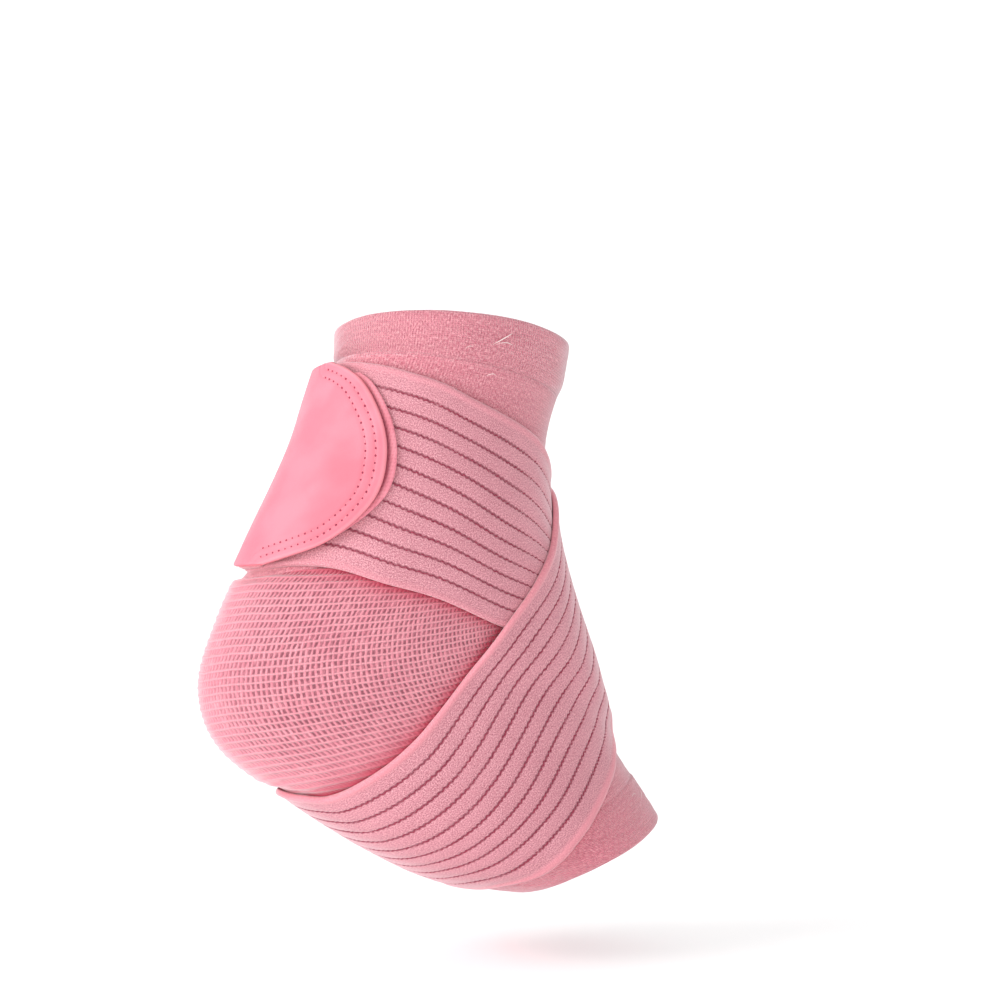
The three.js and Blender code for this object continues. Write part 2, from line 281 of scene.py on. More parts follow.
def off_sleeve(along, degrees, height):
    """Points that stand a height off the sleeve's outer face."""
    along, degrees, height = np.broadcast_arrays(along, degrees, height)
    return sleeve_point(along, degrees) + sleeve_normal(along, degrees) * height[..., None]


def ankle_hem(degrees):
    """Where the top cuff ends: deeper in front than at the back."""
    return lerp(CUFF_BACK_DEPTH, CUFF_FRONT_DEPTH, (1 + np.cos(np.radians(degrees))) / 2) / RISE


FOOT_HEM = 1 - FOOT_CUFF_DEPTH / RISE
ring = np.linspace(0, 360, 361)
check_box = off_sleeve(np.linspace(0.1, FOOT_HEM, 60)[:, None], ring[None], 0).reshape(-1, 3)

# %% [markdown]
# ## From grids of points to meshes
# Cloth that follows a surface is easiest as a grid: rows of points one way, lanes the other. One helper
# turns an outer grid and a coarser inner grid into a closed wall, and stores a map in centimetres or
# stitch counts for the materials, because a knit pattern has to follow the cloth and not the room.

# %% Meshes from arrays
def mesh_of(name, points, faces, uv=None, attributes=None):
    """A mesh object at the origin from point and quad arrays, with a map and named values on its points."""
    mesh = bpy.data.meshes.new(name)
    points, faces = np.asarray(points, np.float32), np.asarray(faces, np.int32)
    corners = faces.shape[1]
    mesh.vertices.add(len(points))
    mesh.vertices.foreach_set("co", points.ravel())
    mesh.loops.add(faces.size)
    mesh.loops.foreach_set("vertex_index", faces.ravel())
    mesh.polygons.add(len(faces))
    mesh.polygons.foreach_set("loop_start", np.arange(0, faces.size, corners, dtype=np.int32))
    mesh.update(calc_edges=True)
    mesh.polygons.foreach_set("use_smooth", np.ones(len(faces), bool))
    if uv is not None:
        layer = mesh.uv_layers.new(name="cloth")
        layer.uv.foreach_set("vector", np.asarray(uv, np.float32)[faces.ravel()].ravel())
    for key, values in (attributes or {}).items():
        layer = mesh.attributes.new(key, "FLOAT", "POINT")
        layer.data.foreach_set("value", np.asarray(values, np.float32).ravel())
    mesh.validate()
    made = bpy.data.objects.new(name, mesh)
    scene.collection.objects.link(made)
    return made


# %% Grids, welds and closed walls
def grid_quads(rows, lanes, start=0):
    """The quads of a grid whose points are counted row by row from a start."""
    i, j = np.meshgrid(np.arange(rows - 1), np.arange(lanes - 1), indexing="ij")
    a = start + i * lanes + j
    return np.stack([a, a + 1, a + lanes + 1, a + lanes], -1).reshape(-1, 4)


def weld(piece, distance=1e-7):
    """Joins points that lie on each other, and leaves the map of each face as it is."""
    work = bmesh.new()
    work.from_mesh(piece.data)
    bmesh.ops.remove_doubles(work, verts=work.verts, dist=distance)
    work.to_mesh(piece.data)
    work.free()


def wall(name, outer, inner, is_ring, uv, inner_uv, attributes=None):
    """A closed wall from grids with as many lanes each. A ring's last lane lies on its first."""
    rows, lanes = outer.shape[:2]
    deep = inner.shape[0]
    base = rows * lanes
    faces = [grid_quads(rows, lanes), grid_quads(deep, lanes, base)[:, ::-1]]
    j = np.arange(lanes - 1)
    top_out, top_in = j, base + j
    faces.append(np.stack([top_out + 1, top_out, top_in, top_in + 1], -1))
    low_out, low_in = (rows - 1) * lanes + j, base + (deep - 1) * lanes + j
    faces.append(np.stack([low_out, low_out + 1, low_in + 1, low_in], -1))
    points = np.concatenate([outer.reshape(-1, 3), inner.reshape(-1, 3)])
    uvs = np.concatenate([uv.reshape(-1, 2), inner_uv.reshape(-1, 2)])
    values = {}
    for key, grid in (attributes or {}).items():
        values[key] = np.concatenate([grid.ravel(), np.zeros(deep * lanes)])
    if not is_ring and deep == rows:
        i = np.arange(rows - 1)
        left, right = i * lanes, i * lanes + lanes - 1
        faces.append(np.stack([left, left + lanes, base + left + lanes, base + left], -1))
        faces.append(np.stack([right + lanes, right, base + right, base + right + lanes], -1))
    made = mesh_of(name, points, np.concatenate(faces), uvs, values)
    if is_ring:
        weld(made)
    print(name, len(made.data.vertices), "points,", len(made.data.polygons), "faces")
    return made


def signed_volume(piece):
    """The volume inside a closed mesh: below zero where its faces point in."""
    piece.data.calc_loop_triangles()
    count = len(piece.data.loop_triangles)
    corner = np.empty(count * 3, np.int32)
    piece.data.loop_triangles.foreach_get("vertices", corner)
    points = np.empty(len(piece.data.vertices) * 3, np.float32)
    piece.data.vertices.foreach_get("co", points)
    a, b, c = points.reshape(-1, 3)[corner.reshape(-1, 3)].transpose(1, 0, 2).astype(float)
    return float(np.einsum("ij,ij->i", a, np.cross(b, c)).sum() / 6)


def face_out(piece):
    """Turns a closed mesh's faces round where they point in."""
    if signed_volume(piece) < 0:
        piece.data.flip_normals()


# %% Soft wander, so that no edge is quite true
WAVE_COUNTS = (1, 1.73, 2.61, 4.3)
WAVE_SHARES = (0.45, 0.3, 0.2, 0.15)


def wobble(x, scale, seed):
    """A soft, repeatable wander between about -1 and 1."""
    starts = np.random.default_rng(seed).uniform(0, 2 * math.pi, len(WAVE_COUNTS))
    parts = [np.sin(x / scale * 2 * math.pi * n + w) for n, w in zip(WAVE_COUNTS, starts)]
    return sum(part * share for part, share in zip(parts, WAVE_SHARES))


def ring_wobble(degrees, counts, seed):
    """A soft wander that closes round a ring: waves of whole counts per turn."""
    starts = np.random.default_rng(seed).uniform(0, 2 * math.pi, len(counts))
    turn = np.radians(degrees)
    parts = [np.sin(turn * n + w) / (1 + 0.5 * k) for k, (n, w) in enumerate(zip(counts, starts))]
    return sum(parts) / 1.8


print("wander at 0, 90 and 180:", ring_wobble(np.array([0, 90, 180]), (3, 5, 8), 3).round(2))

# %% [markdown]
# ## Heel sleeve
# The heel is an open ladder knit: raised pale courses run round it, and between them stand short yarns
# with dark slots beside each other. The courses are real relief in a dense grid. The slots are narrower
# than the grid, so the grid carries their count as a map, a count of slots round the heel by a count of
# courses down it, and the material cuts them out. Where a strap hides the knit, the grid is coarse.

# %% Rows and lanes of the sleeve
COURSES = 80
SLOTS_ROUND = 250
WALES_CROWD = 0.40
COURSE_RELIEF = 0.30 * MM
KNIT_SINKS = 0.16 * MM
HEM_TUCK = 0.12 * MM
RIDGE_WIDTH = 0.24
SHADOW_WIDTH = 2.8 * MM
TUCK_SHARE = 0.7 * MM / RISE
sleeve_rows = np.concatenate([
    np.linspace(0.0, 0.335, 22, endpoint=False),
    np.linspace(0.335, 0.79, 252, endpoint=False),
    np.linspace(0.79, 1.0, 24),
])
sleeve_lanes = np.concatenate([
    np.linspace(0, 45, 15, endpoint=False),
    np.linspace(45, 315, 210, endpoint=False),
    np.linspace(315, 360, 16),
])


def sleeve_along(share, degrees):
    """From a share down the sleeve to a share along the tube. Both ends are tucked under the cuffs."""
    return lerp(ankle_hem(degrees) - TUCK_SHARE, FOOT_HEM + TUCK_SHARE, share)


down, around = np.meshgrid(sleeve_rows, sleeve_lanes, indexing="ij")
print("sleeve grid:", down.shape)

# %% Courses, slots and where the knit opens
course = down * COURSES + 0.25 * ring_wobble(around, (3, 5, 8), 3) * np.sin(down * math.pi)
slot = (around / 360 + WALES_CROWD / (2 * math.pi) * np.sin(np.radians(around))) * SLOTS_ROUND
phase = course - np.floor(course)
ridge = np.exp(-((np.minimum(phase, 1 - phase) / RIDGE_WIDTH) ** 2))
heelward = smooth((down - 0.30) / 0.05) * smooth((0.93 - down) / 0.1)
# The knit is stretched most over its sides, and closes up towards the back line and underneath.
from_back = np.abs(around - 180)
openness = (0.12 + 0.88 * smooth((from_back - 2) / 48)) * smooth((0.84 - down) / 0.2) * heelward
tube_along = sleeve_along(down, around)
turned_here = np.mod(180 - around, 360)
to_strap = np.full_like(down, 1.0)
for upper, lower in (strap_edges(turned_here), strap_edges(360 - turned_here)):
    to_strap = np.minimum(to_strap, past_edges(tube_along, upper, lower))
under_strap = np.exp(-to_strap * RISE / SHADOW_WIDTH) * heelward
print("share of the knit that is open:", round(float(openness.mean()), 3))

# %% Heel sleeve
height = (ridge - 0.5) * COURSE_RELIEF * (0.2 + 0.8 * heelward)
height = height - KNIT_SINKS * heelward - HEM_TUCK * smooth(down / 0.02) * smooth((1 - down) / 0.02)
outer = off_sleeve(sleeve_along(down, around), around, height)
inner_rows = np.linspace(0, 1, 16)[:, None]
inner = off_sleeve(sleeve_along(inner_rows, sleeve_lanes[None]), sleeve_lanes[None], -SLEEVE_WALL)
uv = np.stack([slot, course], -1)
inner_uv = np.stack(np.broadcast_arrays(sleeve_lanes[None] / 360 * SLOTS_ROUND, inner_rows * COURSES), -1)
heel_knit_piece = wall(
    "heel_knit_sleeve", outer, inner, True, uv, inner_uv,
    {"openness": openness, "heelward": heelward, "under_strap": under_strap},
)

# %% [markdown]
# ## Cuffs
# Both ends of the sleeve are doubled hems: the knit is folded over at the rim and sewn down. A hem is a
# closed profile, with a round fold at the rim and a thin edge where it is sewn, drawn round the tube.

# %% A hem's profile
CUFF_LANES = 420
HEM_ROWS = 46
FOLD_ROWS = 8
SLOPE_ROWS = 16
HEM_DEPTH_MM = 17
KNIT_ROUND_MM = 240
HEM_SAG = 0.003
UNEVEN_BROAD = 0.14 * MM
UNEVEN_FINE = 0.07 * MM
cuff_ring = np.linspace(0, 360, CUFF_LANES + 1)


def hem_profile(outside, inside, rounding, soft_hem):
    """The closed outline of a doubled hem: pairs of share from the rim to the hem, and height."""
    thickness, middle = outside - inside, (outside + inside) / 2
    outline = []
    for k in range(FOLD_ROWS + 1):
        a = math.pi * k / FOLD_ROWS
        outline.append((rounding * (1 - math.sin(a)), middle + thickness / 2 * math.cos(math.pi - a)))
    for k in range(1, HEM_ROWS):
        outline.append((lerp(rounding, 1 - soft_hem, k / HEM_ROWS), outside))
    for k in range(SLOPE_ROWS + 1):
        t = k / SLOPE_ROWS
        outline.append((1 - soft_hem * (1 - t), outside * (1 - smooth(t))))
    outline.append((1, inside * 0.5))
    for k in range(FOLD_ROWS):
        outline.append((lerp(1, rounding, k / FOLD_ROWS), inside))
    outline.append(outline[0])
    return np.array(outline)


print("rows of a hem:", len(hem_profile(CUFF_PROUD, CUFF_PROUD - CUFF_WALL, 0.09, 0.30)))

# %% Cuffs
FOOT_CUFF_PROUD = 0.35 * MM


def hem_ring(name, rim, hem, outside, thickness, rounding, soft_hem, seed):
    """A doubled hem: rim and hem are shares along the tube, outside is how far its face stands off it."""
    profile = hem_profile(outside, outside - thickness, rounding, soft_hem)
    share, lift = profile[:, :1], profile[:, 1:]
    turn = cuff_ring[None]
    along = lerp(rim(turn), hem(turn), share)
    uneven = UNEVEN_BROAD * ring_wobble(turn + share * 40, (4, 7, 11), seed)
    uneven = uneven + UNEVEN_FINE * ring_wobble(turn - share * 60, (17, 23, 31), seed + 1)
    uneven = uneven * smooth((1 - share) / 0.15)
    height = np.where(lift >= outside - 1e-6, lift + uneven, lift + uneven * 0.6)
    sag = HEM_SAG * ring_wobble(turn, (2, 3, 5), seed + 2) * (1 - share)
    points = off_sleeve(np.clip(along + sag * (rim(turn) < 0.5), 0.0, 1.0), turn, height)
    deep_mm = np.cumsum(np.hypot(np.diff(share[:, 0], prepend=share[0, 0]) * HEM_DEPTH_MM,
                                 np.diff(lift[:, 0], prepend=lift[0, 0]) / MM))
    uvs = np.stack(np.broadcast_arrays(turn / 360 * KNIT_ROUND_MM, deep_mm[:, None]), -1)
    made = mesh_of(name, points.reshape(-1, 3), grid_quads(*points.shape[:2]), uvs.reshape(-1, 2))
    weld(made)
    face_out(made)
    print(name, len(made.data.polygons), "faces")
    return made


ankle_cuff_piece = hem_ring(
    "ankle_knit_cuff", lambda turn: 0 * turn, ankle_hem, CUFF_PROUD, CUFF_WALL, 0.09, 0.30, 11,
)
foot_cuff_piece = hem_ring(
    "foot_knit_cuff", lambda turn: 0 * turn + 1.0, lambda turn: 0 * turn + FOOT_HEM, FOOT_CUFF_PROUD,
    FOOT_CUFF_WALL, 0.1, 0.10, 23,
)

# %% [markdown]
# ## The strap's way
# The strap is sewn on at the back, passes over the inner side and the front, underneath, up over the
# front again and round the back. The inner and the outer side mirror each other, so one table gives its
# edges for both turns. Where it crosses itself it rides one thickness higher, and tents down beside the
# edge beneath.

# %% Strap route
TENT_FULL, TENT_FALL = 0.02, 0.12
DEGREE_SHARE = 0.0035


def tent(distance):
    """One on top of what lies beneath, falling softly to none beside it."""
    return 1 - smooth((distance - TENT_FULL) / TENT_FALL)


def first_height(along, degrees):
    """How far above the sleeve the strap's first turn lies."""
    return LAYER_GAP + CUFF_PROUD * tent(along - ankle_hem(degrees))


def turned_from(way):
    """The route table's key: the second turn mirrors the first."""
    return np.where(way <= 360, way, 720 - way)


def strap_height(along, way):
    """How far above the sleeve the strap lies. Its way counts degrees from the back line on."""
    turned = turned_from(way)
    upper, lower = strap_edges(360 - turned)
    past_start = np.maximum(turned - (STRAP_START - 180), 0) * DEGREE_SHARE
    on_first = tent(np.minimum(past_edges(along, upper, lower), past_start)) * (way > 360)
    return first_height(along, 180 - way) + (STRAP_THICKNESS + LAYER_GAP) * on_first


def strap_point(way, across, height):
    """A point of the strap: across runs from its upper edge, 0, to its lower one, 1."""
    along = lerp(*strap_edges(turned_from(way)), across)
    return off_sleeve(along, 180 - way, strap_height(along, way) + height)


def walked(line):
    """The distance walked along a line, at each of its points."""
    return np.concatenate([[0], np.cumsum(np.linalg.norm(np.diff(line, axis=0), axis=1))])


# %% Length of the strap
WAY_START, WAY_END = 180 - STRAP_START, 720 + 180 - STRAP_END
fine_way = np.linspace(WAY_START, WAY_END, 2400)
run = walked(strap_point(fine_way, 0.5 + 0 * fine_way, 0))
STRAP_LENGTH = float(run[-1])
upper_line, lower_line = (strap_point(fine_way, 0 * fine_way + side, 0) for side in (0, 1))
edge_widths = np.linalg.norm(upper_line - lower_line, axis=1)
print("strap length", round(STRAP_LENGTH, 4))
print("width from edge to edge", edge_widths.min().round(4), "to", edge_widths.max().round(4))

# %% [markdown]
# ## Strap
# It is woven elastic with ten dropped stitches along it, each a dark zigzag groove, and smooth selvedges.
# Lanes of the grid run along the grooves and swing with the zigzag, so the grooves are cut into the cloth
# and stay sharp.

# %% Lanes and stations of the strap
LINES = 10
LINE_MARGIN = 8.2 * MM
ZIGZAG_PITCH = 2.1 * MM
ZIGZAG_SWING = 0.44 * MM
STATIONS = 1180
EDGE_LANES_MM = np.array([0, 0.25, 0.7, 1.4, 2.2, 3.0, 3.6, 5.2])
LINE_LANES_MM = np.array([-1.0, -0.5, 0.0, 0.5, 1.0])
line_pitch = (STRAP_WIDTH - 2 * LINE_MARGIN) / (LINES - 1)
line_places = LINE_MARGIN + line_pitch * np.arange(LINES)
strap_lanes = np.concatenate([
    EDGE_LANES_MM * MM,
    *(place + LINE_LANES_MM * MM for place in line_places),
    (STRAP_WIDTH / MM - EDGE_LANES_MM[::-1]) * MM,
])
station_run = np.linspace(0, STRAP_LENGTH, STATIONS)
station_way = np.interp(station_run, run, fine_way)
lane, along_run = np.meshgrid(strap_lanes, station_run, indexing="xy")
print("strap grid:", lane.shape, "a line every", round(line_pitch / MM, 2), "mm")

# %% Swing of the lines and trim of the end
TRIM_WAY = 60
UPPER_TRIM, UPPER_TRIM_DEGREES = 5.5 * MM, 17
LOWER_TRIM, LOWER_TRIM_DEGREES = 3 * MM, 8
EDGE_WANDER = 0.32 * MM
LINE_REACH = 1.3 * MM


def zigzag(run_at):
    return np.abs(((run_at / ZIGZAG_PITCH) % 1) * 2 - 1) * 2 - 1


def near_lines(reach):
    """One on a line of dropped stitches, falling to none at a reach beside it."""
    return np.max([np.clip(1 - np.abs(lane - place) / reach, 0, 1) for place in line_places], axis=0)


# The strap's end is trimmed at its corners, so that it hides beneath the round tab.
corner = np.maximum(1 - lane / UPPER_TRIM, 0) * UPPER_TRIM_DEGREES
corner = corner + np.maximum(1 - (STRAP_WIDTH - lane) / LOWER_TRIM, 0) * LOWER_TRIM_DEGREES
way = station_way[:, None] - corner * smooth((station_way[:, None] - (WAY_END - TRIM_WAY)) / TRIM_WAY)
at_edges = np.sign(lane - STRAP_WIDTH / 2) * (np.abs(lane / STRAP_WIDTH - 0.5) * 2) ** 6
edge_wander = EDGE_WANDER * wobble(along_run / MM, 83, 9) * at_edges
shifted = lane + zigzag(along_run) * ZIGZAG_SWING * near_lines(LINE_REACH) + edge_wander
print("edges wander by up to", round(float(np.abs(edge_wander).max()) / MM, 2), "mm")

# %% Relief of the strap
GROOVE_DEPTH = 0.45 * MM
GROOVE_REACH = 0.8 * MM
ROUNDING = 0.9 * MM
SELVEDGE_AT, SELVEDGE_HALF, SELVEDGE_HIGH = 1.4 * MM, 0.7 * MM, 0.24 * MM
FURROW_AT, FURROW_HALF, FURROW_DEEP = 3.0 * MM, 0.5 * MM, 0.16 * MM
RIB_HIGH = 0.05 * MM
PUFF_HIGH = 0.05 * MM


def bell(distance, half):
    """A soft hump of height one."""
    return np.exp(-((distance / half) ** 2))


def rounded_edge(distance, reach):
    """A quarter circle that rises from the edge to one at a reach inside it."""
    return np.sqrt(np.clip(1 - (1 - np.clip(distance / reach, 0, 1)) ** 2, 0, 1))


groove = near_lines(GROOVE_REACH)
side = np.minimum(lane, STRAP_WIDTH - lane)
selvedge = bell(side - SELVEDGE_AT, SELVEDGE_HALF) * SELVEDGE_HIGH
selvedge = selvedge - bell(side - FURROW_AT, FURROW_HALF) * FURROW_DEEP
ribs = RIB_HIGH * np.sin(2 * math.pi * side / line_pitch)
puff = PUFF_HIGH * wobble(along_run / MM + lane / MM * 2.2, 47, 5)
strap_out = STRAP_THICKNESS * (0.35 + 0.65 * rounded_edge(side, ROUNDING))
strap_out = strap_out + selvedge + ribs + puff - groove * GROOVE_DEPTH
print("strap's face stands off by", (strap_out.min() / MM).round(2), "to", (strap_out.max() / MM).round(2))

# %% Where the dropped stitches show less
FRONT_OF_FIRST_TURN = (118, 25, 185, 20)
FRONT_OF_SECOND_TURN = (478, 30, 560, 25)
BENEATH = (330, 30, 418, 40)


def between(way, start, rise, end, fall):
    """One between two places on the strap's way, rising after the first and falling before the second."""
    return smooth((way - start) / rise) * smooth((end - way) / fall)


# Over the front the cloth closes up and its dropped stitches thin out. So do the lower ones underneath.
closed_up = between(station_way, *FRONT_OF_FIRST_TURN) + 0.75 * between(station_way, *FRONT_OF_SECOND_TURN)
lower_lines = smooth((lane / STRAP_WIDTH - 0.35) / 0.4)
faded = 0.8 * closed_up[:, None] + 0.65 * between(station_way, *BENEATH)[:, None] * lower_lines
line_strength = groove * (1 - faded)
print("the lines' strength on average:", round(float(line_strength[groove > 0].mean()), 2))

# %% Strap
CM_PER_M = 100
outer = strap_point(way, shifted / STRAP_WIDTH, strap_out)
inner = strap_point(way, shifted / STRAP_WIDTH, 0.0 * lane)
last_lane = len(strap_lanes) - 1
keep = [0, 4, 7, *(10 + 5 * k for k in range(LINES)), last_lane - 7, last_lane - 4, last_lane]


def strap_mesh():
    """A dense outer face and a face with few lanes beneath, closed along both selvedges and both ends."""
    rows, lanes = lane.shape
    thin = len(keep)
    base = rows * lanes
    points = np.concatenate([outer.reshape(-1, 3), inner[:, keep].reshape(-1, 3)])
    uvs = np.stack([along_run * CM_PER_M, lane * CM_PER_M], -1)
    uvs = np.concatenate([uvs.reshape(-1, 2), uvs[:, keep].reshape(-1, 2)])
    quads = [grid_quads(rows, lanes), grid_quads(rows, thin, base)[:, ::-1]]
    i = np.arange(rows - 1)
    left, low = i * lanes, base + i * thin
    quads.append(np.stack([left, left + lanes, low + thin, low], -1))
    right, low = i * lanes + lanes - 1, base + i * thin + thin - 1
    quads.append(np.stack([right + lanes, right, low, low + thin], -1))
    made = mesh_of("elastic_wrap_strap", points, np.concatenate(quads), uvs,
                   {"line": np.concatenate([line_strength.ravel(), np.zeros(rows * thin)])})
    work = bmesh.new()
    work.from_mesh(made.data)
    ends = [e for e in work.edges if e.is_boundary]
    bmesh.ops.holes_fill(work, edges=ends, sides=0)
    work.to_mesh(made.data)
    work.free()
    print("strap", len(made.data.polygons), "faces, volume mm3", round(signed_volume(made) * 1e9))
    return made


strap_piece = strap_mesh()

# %% [markdown]
# ## Tab and hook tape
# The strap's end is a D-shaped tab, two layers with a thin pad between, stitched twice along its round
# edge. The hook tape beneath shows as a narrow rim at its upper right. Both are patches between the round
# edge and a straight one, and the distance of each point to the outline gives the rounded edge, the crown
# and the stitched furrows.

# %% Where the tab lies
upper_edge, lower_edge = (float(e) for e in strap_edges(0.0))
mid_ring = sleeve_point((upper_edge + lower_edge) / 2 + 0 * ring, ring)
DEGREES_PER_M = 360 / np.linalg.norm(np.diff(mid_ring, axis=0), axis=1).sum()
TAB_STEP_CLEAR, TAB_STEP_RUN = 10, 15
OVER_BACKING = 0.5 * MM
OVER_STRAP = 0.25 * MM
BACKING_START = STRAP_END - 2 * LAYER_GAP * DEGREES_PER_M
print("degrees round the tube for each mm:", round(DEGREES_PER_M * MM, 3))


def backing_height(along, degrees):
    return first_height(along, degrees) + STRAP_THICKNESS + LAYER_GAP


def tab_height(along, degrees):
    """The tab steps from the hook tape up to the strap's own end, which it also covers."""
    on_strap = np.clip((degrees - (STRAP_END - TAB_STEP_CLEAR - TAB_STEP_RUN)) / TAB_STEP_RUN, 0, 1)
    beneath = lerp(BACKING_THICKNESS + OVER_BACKING, STRAP_THICKNESS + OVER_STRAP, smooth(on_strap))
    return backing_height(along, degrees) + beneath + LAYER_GAP


# %% Flat plans laid on the brace
PLAN_POINTS = 241


def eased(count):
    """Shares from 0 to 1 that crowd towards both ends."""
    return (1 - np.cos(np.linspace(0, math.pi, count))) / 2


def patch_plan(top, bottom, straight, margin):
    """A patch's flat outline: metres from the tab's straight edge, and metres down the strap."""
    share = lerp(top, bottom, eased(PLAN_POINTS))
    reach = tab_edge["reach"](share) * TAB_LENGTH + tab_edge["shows"](share) * margin
    back = (TAB_BACK - straight) / DEGREES_PER_M
    line = np.stack([reach, share * STRAP_WIDTH], -1)
    return share, reach, back, line


def to_outline(points, line):
    """The distance of each flat point to a polyline."""
    near = np.full(points.shape[:-1], np.inf)
    for a, b in zip(line[:-1], line[1:]):
        ab = b - a
        t = np.clip(((points - a) @ ab) / max(ab @ ab, 1e-18), 0, 1)
        near = np.minimum(near, np.linalg.norm(points - a - t[..., None] * ab, axis=-1))
    return near


def patch_place(flat, height_at, height):
    """From the flat plan of the tab to its place on the brace."""
    degrees = TAB_BACK - flat[..., 0] * DEGREES_PER_M
    along = lerp(upper_edge, lower_edge, flat[..., 1] / STRAP_WIDTH)
    return off_sleeve(along, degrees, height_at(along, degrees) + height)


def patch_mesh(name, top, bottom, straight, margin, height_at, thickness, profile, rows, lanes):
    """A closed patch between the round edge and a straight one, and the round edge's flat line."""
    share, reach, back, line = patch_plan(top, bottom, straight, margin)
    row_share = lerp(top, bottom, eased(rows))
    row_reach = np.interp(row_share, share, reach)
    flat_x = lerp(row_reach[:, None], back, eased(lanes)[None])
    flat = np.stack([flat_x, np.broadcast_to(row_share[:, None] * STRAP_WIDTH, flat_x.shape)], -1)
    closed = np.concatenate([[[back, line[0, 1]]], line, [[back, line[-1, 1]], [back, line[0, 1]]]])
    inset = to_outline(flat, closed)
    from_round = to_outline(flat, line)
    outer = patch_place(flat, height_at, thickness * profile(inset, from_round, flat))
    inner = patch_place(flat, height_at, 0 * inset)
    uvs = flat * CM_PER_M
    made = wall(name, outer, inner, False, uvs, uvs, {"from_round": from_round * CM_PER_M})
    face_out(made)
    return made, line


# %% Crown, furrows and edges of the tab and the tape, as shares of their thickness
STITCH_INSETS_MM = (3.0, 6.0)
FURROW_SHARE, FURROW_HALF_MM = 0.16, 0.55
CROWN_SHARE = 0.75
DISH_SHARE = 0.10


def tab_profile(inset, from_round, flat):
    edge = rounded_edge(inset, 0.9 * MM)
    crown = CROWN_SHARE * smooth((from_round / MM - 6.4) / 14) * smooth((inset / MM - 1) / 16)
    furrows = sum(bell(from_round / MM - inset_mm, FURROW_HALF_MM) for inset_mm in STITCH_INSETS_MM)
    dish = DISH_SHARE * wobble(flat[..., 1] / MM + flat[..., 0] / MM * 0.5, 60, 31)
    return (0.45 + 0.55 * edge) + crown - FURROW_SHARE * furrows + dish * smooth(inset / (4 * MM))


def backing_profile(inset, from_round, flat):
    return 0.5 + 0.5 * rounded_edge(inset, 0.6 * MM) + 0.12 * bell(inset / MM - 1.0, 0.5)


# %% Tab and hook tape
tab_piece, tab_line = patch_mesh(
    "satin_strap_tab", 0.03, 1.0, TAB_BACK, 0, tab_height, TAB_THICKNESS, tab_profile, 150, 130,
)
backing_piece, backing_line = patch_mesh(
    "hook_tab_backing", 0.09, 0.94, BACKING_START, BACKING_SHOWS, backing_height, BACKING_THICKNESS,
    backing_profile, 90, 60,
)
print("tab volume in mm3:", round(signed_volume(tab_piece) / MM**3))

# %% [markdown]
# ## Shared pattern groups
# Yarn fuzz, a fine knit, the ladder knit and the woven strap are pure pattern, so each is a node group
# that puts out values only. The shader itself, with its sheen and roughness, stays in each material.

# %% Node helpers
class Net:
    """A short way to write node trees: a call adds a node, links its inputs and gives an output."""

    def __init__(self, tree):
        self.tree = tree

    def feed(self, socket, value):
        if isinstance(value, bpy.types.NodeSocket):
            self.tree.links.new(value, socket)
        elif value is not None:
            socket.default_value = value

    def add(self, kind, inputs=(), out=0, **settings):
        node = self.tree.nodes.new(kind)
        for key, value in settings.items():
            setattr(node, key, value)
        pairs = inputs.items() if isinstance(inputs, dict) else enumerate(inputs)
        for key, value in pairs:
            self.feed(node.inputs[key], value)
        return node.outputs[out]

    def math(self, operation, *numbers):
        return self.add("ShaderNodeMath", numbers, operation=operation)

    def plus(self, a, b):
        return self.math("ADD", a, b)

    def minus(self, a, b):
        return self.math("SUBTRACT", a, b)

    def times(self, a, b):
        return self.math("MULTIPLY", a, b)

    def split(self, vector):
        parts = self.add("ShaderNodeSeparateXYZ", [vector]).node.outputs
        return parts[0], parts[1]

    def scaled(self, vector, scale):
        return self.add("ShaderNodeMapping", {"Vector": vector, "Scale": scale})

    def stored(self, name):
        return self.add("ShaderNodeAttribute", out="Fac", attribute_name=name)

    def ramp(self, value, low, high, to_low=0.0, to_high=1.0):
        return self.add("ShaderNodeMapRange", {0: value, 1: low, 2: high, 3: to_low, 4: to_high},
                        interpolation_type="SMOOTHSTEP")

    def mix(self, factor, a, b):
        node = self.tree.nodes.new("ShaderNodeMix")
        node.data_type = "RGBA"
        self.feed(node.inputs[0], factor)
        self.feed(node.inputs[6], a)
        self.feed(node.inputs[7], b)
        return node.outputs[2]

    def noise(self, vector, scale, detail=2.0, rough=0.5):
        return self.add("ShaderNodeTexNoise", {"Vector": vector, "Scale": scale, "Detail": detail,
                                               "Roughness": rough})

    def group(self, group, inputs, out=0):
        node = self.tree.nodes.new("ShaderNodeGroup")
        node.node_tree = group
        for key, value in inputs.items():
            self.feed(node.inputs[key], value)
        return node.outputs[out] if isinstance(out, int) else [node.outputs[k] for k in out]


def pattern_group(name, inputs, outputs):
    """A shader node group with named inputs and outputs."""
    tree = bpy.data.node_groups.new(name, "ShaderNodeTree")
    for key, (kind, value) in inputs.items():
        socket = tree.interface.new_socket(name=key, in_out="INPUT", socket_type=kind)
        if value is not None:
            socket.default_value = value
    for key, kind in outputs.items():
        tree.interface.new_socket(name=key, in_out="OUTPUT", socket_type=kind)
    start, end = tree.nodes.new("NodeGroupInput"), tree.nodes.new("NodeGroupOutput")
    return tree, Net(tree), start.outputs, end.inputs


FLOAT, VECTOR = "NodeSocketFloat", "NodeSocketVector"

